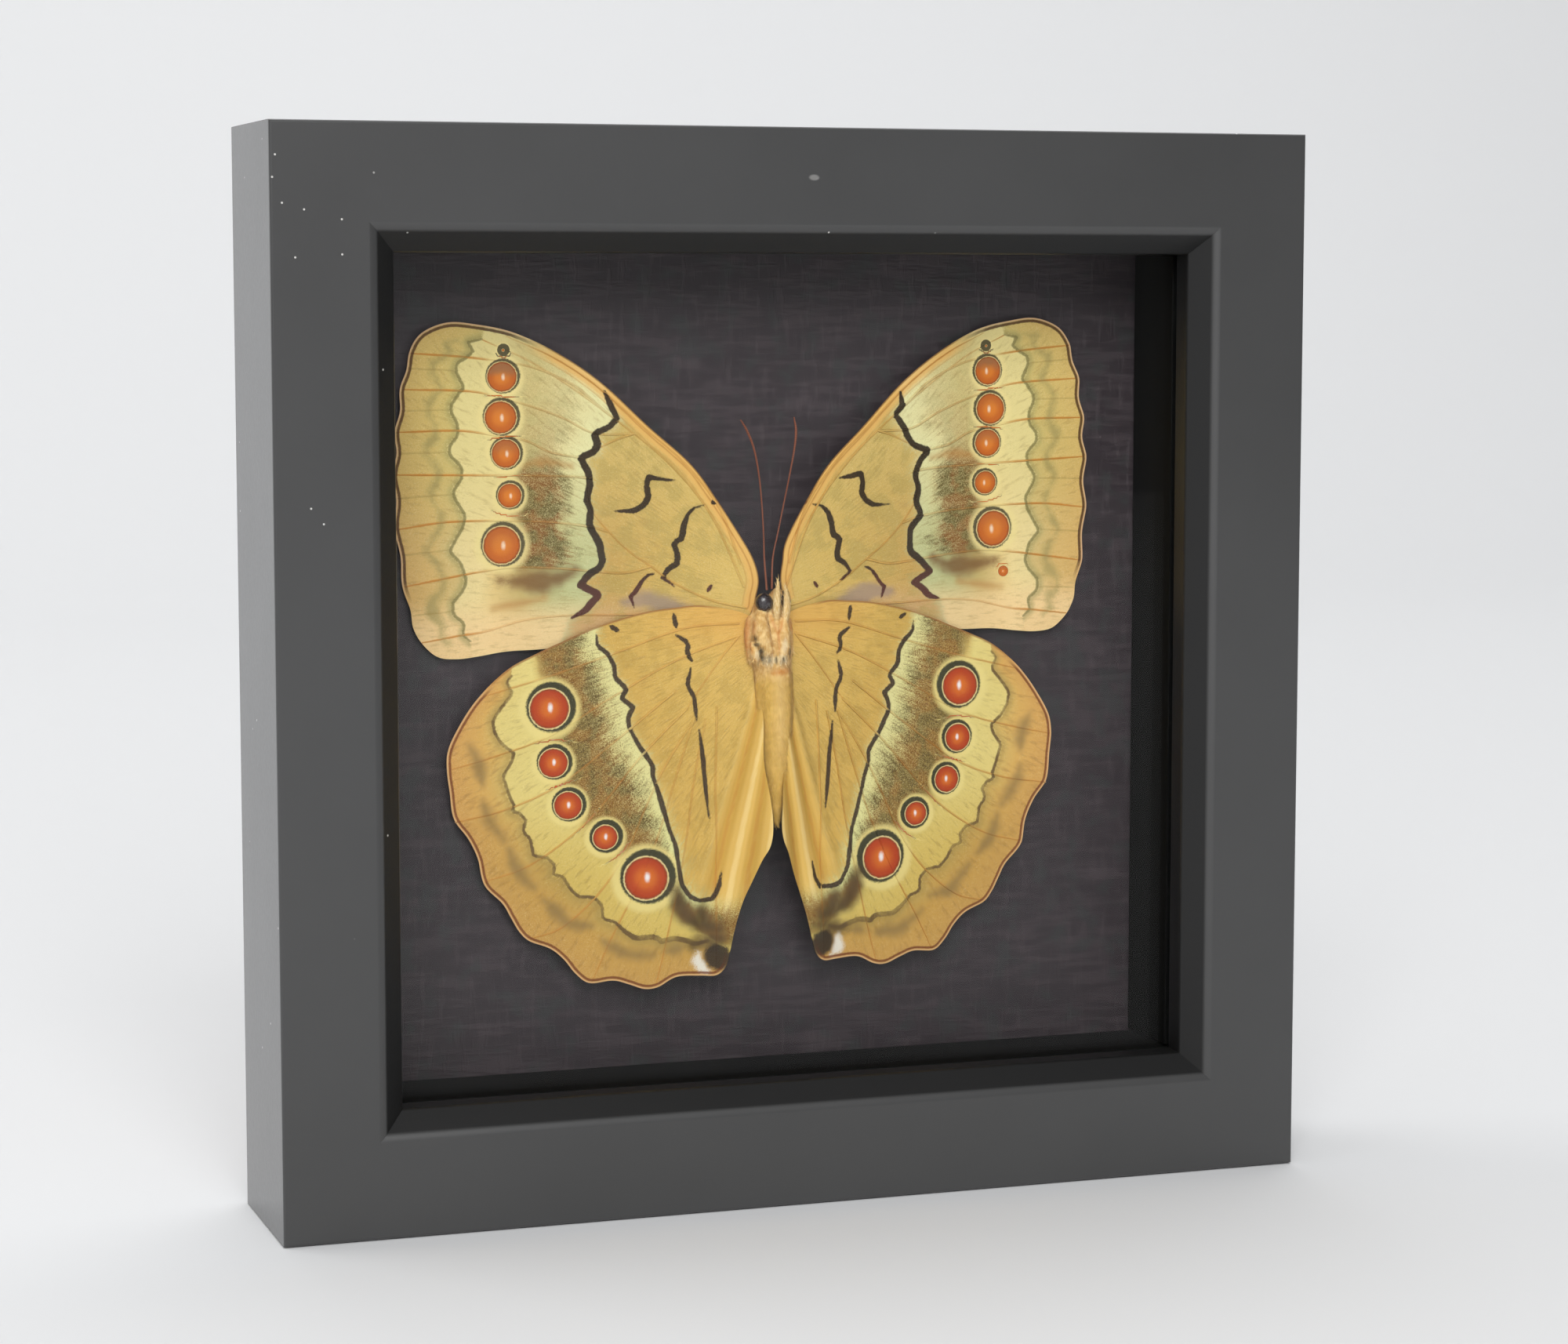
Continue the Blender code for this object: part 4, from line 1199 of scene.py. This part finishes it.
# shadowed clefts between the legs, ginger edges and a forked seam, and pale toes
points = points_of(body)
flat = flat_spots(points)
gloom = strokes(
    flat,
    (
        ((-3.75, -0.1), (-3.6, -0.7)), ((-3.6, -1.4), (-3.0, -1.5)), ((-2.6, -1.9), (-2.5, -3.6)),
        ((3.1, -1.6), (2.9, -3.8)), ((-2.3, -3.2), (-1.9, -4.6)), ((-1.1, -3.6), (-1.1, -4.6)),
        ((0.05, -3.6), (0.05, -4.6)), ((1.35, -3.6), (1.35, -4.6)),
    ),
    0.3,
    0.4,
)
ginger = strokes(
    flat,
    (((-3.8, 2.6), (-4.3, 0.2), (-4.5, -4.2)), ((-0.6, -6.3), (2.8, -6.2)), ((3.9, 2.0), (4.1, 0.4))),
    0.42,
    0.3,
)
fork = strokes(flat, (((-0.8, 3.6), (0.5, 0.2), (0.6, -2.6)), ((1.6, 3.2), (0.5, 0.2))), 0.14, 0.3)
ginger = np.minimum(ginger, fork * 2.4)
pale = strokes(
    flat,
    (
        ((-1.5, -3.2), (-1.5, -5)), ((-0.7, -3.2), (-0.7, -5)), ((0.9, -3.2), (0.9, -5)),
        ((1.8, -3.4), (1.8, -5)), ((-3.2, -2.4), (-3.0, -4.0)), ((1.5, -0.5), (1.4, -3)),
    ),
    0.5,
    0.3,
)
hold(
    body,
    gloom=np.clip(0.5 - gloom / 0.35, 0, 1) * np.clip((17.2 * MM + FRONT - points[:, 1]) / (0.6 * MM), 0, 1),
    ginger=np.clip(0.5 - ginger / 0.8, 0, 1),
    tail=np.clip((-5.5 - flat[:, 1]) / 3, 0, 1),
    # middle: where the painted highlight runs down the abdomen
    middle=np.clip(1 - np.abs(flat[:, 0] - 0.9) / 1.9, 0, 1) * np.clip((flat[:, 1] + 26) / 10, 0, 1),
    pale=np.clip(0.5 - pale / 0.5, 0, 1),
)
body.data.materials.clear()
body.data.materials.append(down.material)

# the eyes: glossy black, finely faceted
lens = Finish("black_eye", rough=0.16, Coat_Weight=0.6, Coat_Roughness=0.08)
facets = lens.node("ShaderNodeTexVoronoi", None, {"Vector": lens.place(), "Scale": 9000.0})
lens.feed(
    Base_Color=lens.mix(tone(16, 12, 12), tone(44, 34, 38), facets.rise(0.0, 0.5)),
    Roughness=0.14 + facets * 0.2,
)
lens.bump(facets, 0.4, 0.00004)
balls = []
for across, up, deep, radius in ((-1.72, 5.7, 15.4, 1.52), (2.3, 6.1, 17.9, 1.3)):
    ball = begin(
        "eye", bpy.ops.mesh.primitive_uv_sphere_add, segments=40, ring_count=24, radius=radius * MM,
        location=in_case(across, up, deep),
    )
    ball.scale = (1, 0.85, 1.06)
    bpy.ops.object.transform_apply()
    bpy.ops.object.shade_smooth()
    balls.append(ball)
eyes = joined(balls, "body_eyes")
eyes.data.materials.append(lens.material)

# the palps: two flattened brushes held up in front of the face, cream with a dark outer edge
PALPS = (
    ((0.5, 2.6, 15.6, 0.5), (0.35, 4.4, 15.1, 0.66), (0.5, 6.4, 15.1, 0.6), (0.85, 8.2, 15.5, 0.36),
     (1.1, 9.6, 15.9, 0.14)),
    ((1.9, 1.6, 15.8, 0.55), (2.15, 3.8, 15.3, 0.7), (2.35, 5.8, 15.3, 0.62), (2.35, 7.2, 15.6, 0.36),
     (2.2, 8.4, 16.0, 0.14)),
)
palps = limb(PALPS, "body_palps", 0.14, 1)
brush = Finish("palp_down", rough=0.75, Sheen_Weight=0.08, Sheen_Roughness=0.5)
strand = brush.noise(0.0002, 3, brush.stretched(1, 1, 0.25))
colour = brush.mix(tone(226, 190, 120), tone(250, 226, 176), strand.rise(0.4, 0.65))
colour = colour.under(tone(62, 34, 20), brush.held("edge") * 0.94)
brush.feed(Base_Color=colour, Roughness=0.66 + strand * 0.25)
brush.bump(strand, 0.5, 0.0001)
blades(palps, 1500, 0.9, 0.04, lambda root: -downward(root), 11)
points = points_of(palps)
flat = np.column_stack((points[:, 0] - AXIS.x, points[:, 2] - AXIS.z)) / MM
edge = strokes(
    flat,
    (((1.15, 9.2), (1.25, 7.4), (1.35, 5.4), (1.2, 4.4)), ((2.55, 8.2), (2.95, 6.6), (3.05, 5.0))),
    0.3,
    0.3,
)
hold(palps, edge=np.clip(0.5 - edge / 0.25, 0, 1))
palps.data.materials.clear()
palps.data.materials.append(brush.material)
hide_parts("body")
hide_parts("body")
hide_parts("body")
for piece in (body, eyes, palps):
    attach(piece, "root")

# ---------------------------------------------------------------------------
# The antennae: two fine jointed bristles that swell slightly at the end.
horn = Finish("antenna_horn", rough=0.45)
bands = {"wave_type": "BANDS", "bands_direction": "Z"}
joint = horn.node("ShaderNodeTexWave", bands, {"Vector": horn.place(), "Scale": 900.0})
horn.feed(Base_Color=horn.mix(tone(92, 46, 30), tone(150, 84, 54), joint), Roughness=0.4 + joint * 0.2)
horn.bump(joint, 0.3, 0.00005)
for node, line in (
    ("antenna_left", (
        (-0.5, 7.6, 17.4, 0.2), (-0.6, 12.9, 18.2, 0.15), (-0.6, 17.0, 18.4, 0.13), (-0.7, 22.0, 18.8, 0.13),
        (-1.0, 27.0, 19.2, 0.14), (-1.7, 31.6, 19.6, 0.18), (-2.9, 34.9, 19.9, 0.22), (-3.9, 36.6, 20.0, 0.1),
    )),
    ("antenna_right", (
        (0.4, 7.8, 17.4, 0.2), (0.9, 12.9, 18.2, 0.15), (1.9, 17.0, 18.4, 0.13), (3.2, 22.0, 18.8, 0.13),
        (4.5, 27.0, 19.2, 0.14), (5.6, 31.6, 19.6, 0.18), (6.0, 34.6, 19.9, 0.22), (5.7, 36.8, 20.0, 0.1),
    )),
):
    bristle = begin(
        node + "_bristle", bpy.ops.mesh.primitive_cylinder_add, vertices=10, radius=1.0, depth=1.0
    )
    path = through(line, 0.7)
    bpy.ops.object.mode_set(mode="EDIT")
    bpy.ops.mesh.select_all(action="SELECT")
    pick(bristle, "faces", lambda f: f.normal.z > 0.9)
    for _ in range(len(path) - 2):
        bpy.ops.mesh.extrude_region_move(TRANSFORM_OT_translate={"value": (0, 0, 1)})
    bpy.ops.object.mode_set(mode="OBJECT")
    for point in bristle.data.vertices:
        row = min(len(path) - 1, max(0, round(point.co.z + 0.5)))
        across, up, deep, radius = path[row]
        middle = in_case(across, up, deep)
        point.co = middle + Vector((point.co.x, point.co.y, 0)) * radius * MM
    bpy.ops.object.shade_smooth_by_angle(angle=math.radians(60))
    bristle.data.materials.append(horn.material)
    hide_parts(node)
    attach(bristle, "root")

# ---------------------------------------------------------------------------
# The shot: a pale sheet under the frame and behind it, soft light from the
# front and upper left, and a camera at the frame's left, a little above it.
sheet_white = Finish("pale_backdrop", rough=0.9)
sheet_white.shader.inputs["Base Color"].default_value = (0.72, 0.725, 0.73, 1)
sweep = begin("backdrop", bpy.ops.mesh.primitive_plane_add, size=1)
sweep.scale = (6, 4, 1)
bpy.ops.object.transform_apply()
bpy.ops.object.mode_set(mode="EDIT")
pick(sweep, "edges", lambda e: both_ends(e, lambda p: p.y > 1.9))
bpy.ops.mesh.extrude_region_move(TRANSFORM_OT_translate={"value": (0, 0, 3)})
pick(sweep, "edges", lambda e: both_ends(e, lambda p: p.y > 1.9 and near(p.z, 0)))
bpy.ops.mesh.bevel(offset=0.9, segments=12, profile=0.5)
bpy.ops.object.mode_set(mode="OBJECT")
bpy.ops.object.shade_smooth()
sweep.data.transform(Matrix.Translation((0, 0, -0.0002)))
sweep.data.materials.append(sheet_white.material)

for lamp_name, at, aim, size, power in (
    ("window", (-0.45, -1.6, 1.1), (0, 0, 0.08), 1.1, 30.0),
    ("wash_behind", (0.6, 0.9, 1.9), (0.6, 1.5, 0.2), 1.6, 15.0),
    ("glow_left", (-1.5, 1.0, 0.7), (0, 0.1, 0.1), 1.4, 14.0),
):
    lamp = bpy.data.lights.new(lamp_name, "AREA")
    lamp.shape, lamp.size, lamp.energy = "SQUARE", size, power
    holder = bpy.data.objects.new(lamp_name, lamp)
    bpy.context.collection.objects.link(holder)
    holder.location = at
    holder.rotation_euler = (Vector(aim) - Vector(at)).to_track_quat("-Z", "Y").to_euler()
# the white room, dimmer towards the front right
room = bpy.data.worlds.new("room")
room.use_nodes = True
sky = room.node_tree
ways = sky.nodes.new("ShaderNodeTexCoord")
parts = sky.nodes.new("ShaderNodeSeparateXYZ")
dimming = sky.nodes.new("ShaderNodeMapRange")
sky.links.new(ways.outputs["Generated"], parts.inputs[0])
sky.links.new(parts.outputs["X"], dimming.inputs["Value"])
for socket, value in (("From Min", 0.1), ("From Max", 0.5), ("To Min", 0.6), ("To Max", 0.15)):
    dimming.inputs[socket].default_value = value
sky.links.new(dimming.outputs[0], sky.nodes["Background"].inputs["Strength"])
sky.nodes["Background"].inputs["Color"].default_value = (0.98, 0.985, 1.0, 1)
bpy.context.scene.world = room
bpy.context.scene.view_settings.view_transform = "Standard"

camera = bpy.data.cameras.new("camera")
camera.lens, camera.sensor_width, camera.clip_start = 84.68, 36.0, 0.01
stand = bpy.data.objects.new("camera", camera)
bpy.context.collection.objects.link(stand)
stand.location = (-0.2028, -0.5927, 0.1533)
stand.rotation_euler = (math.radians(84.10), 0, math.radians(-18.97))
bpy.context.scene.camera = stand
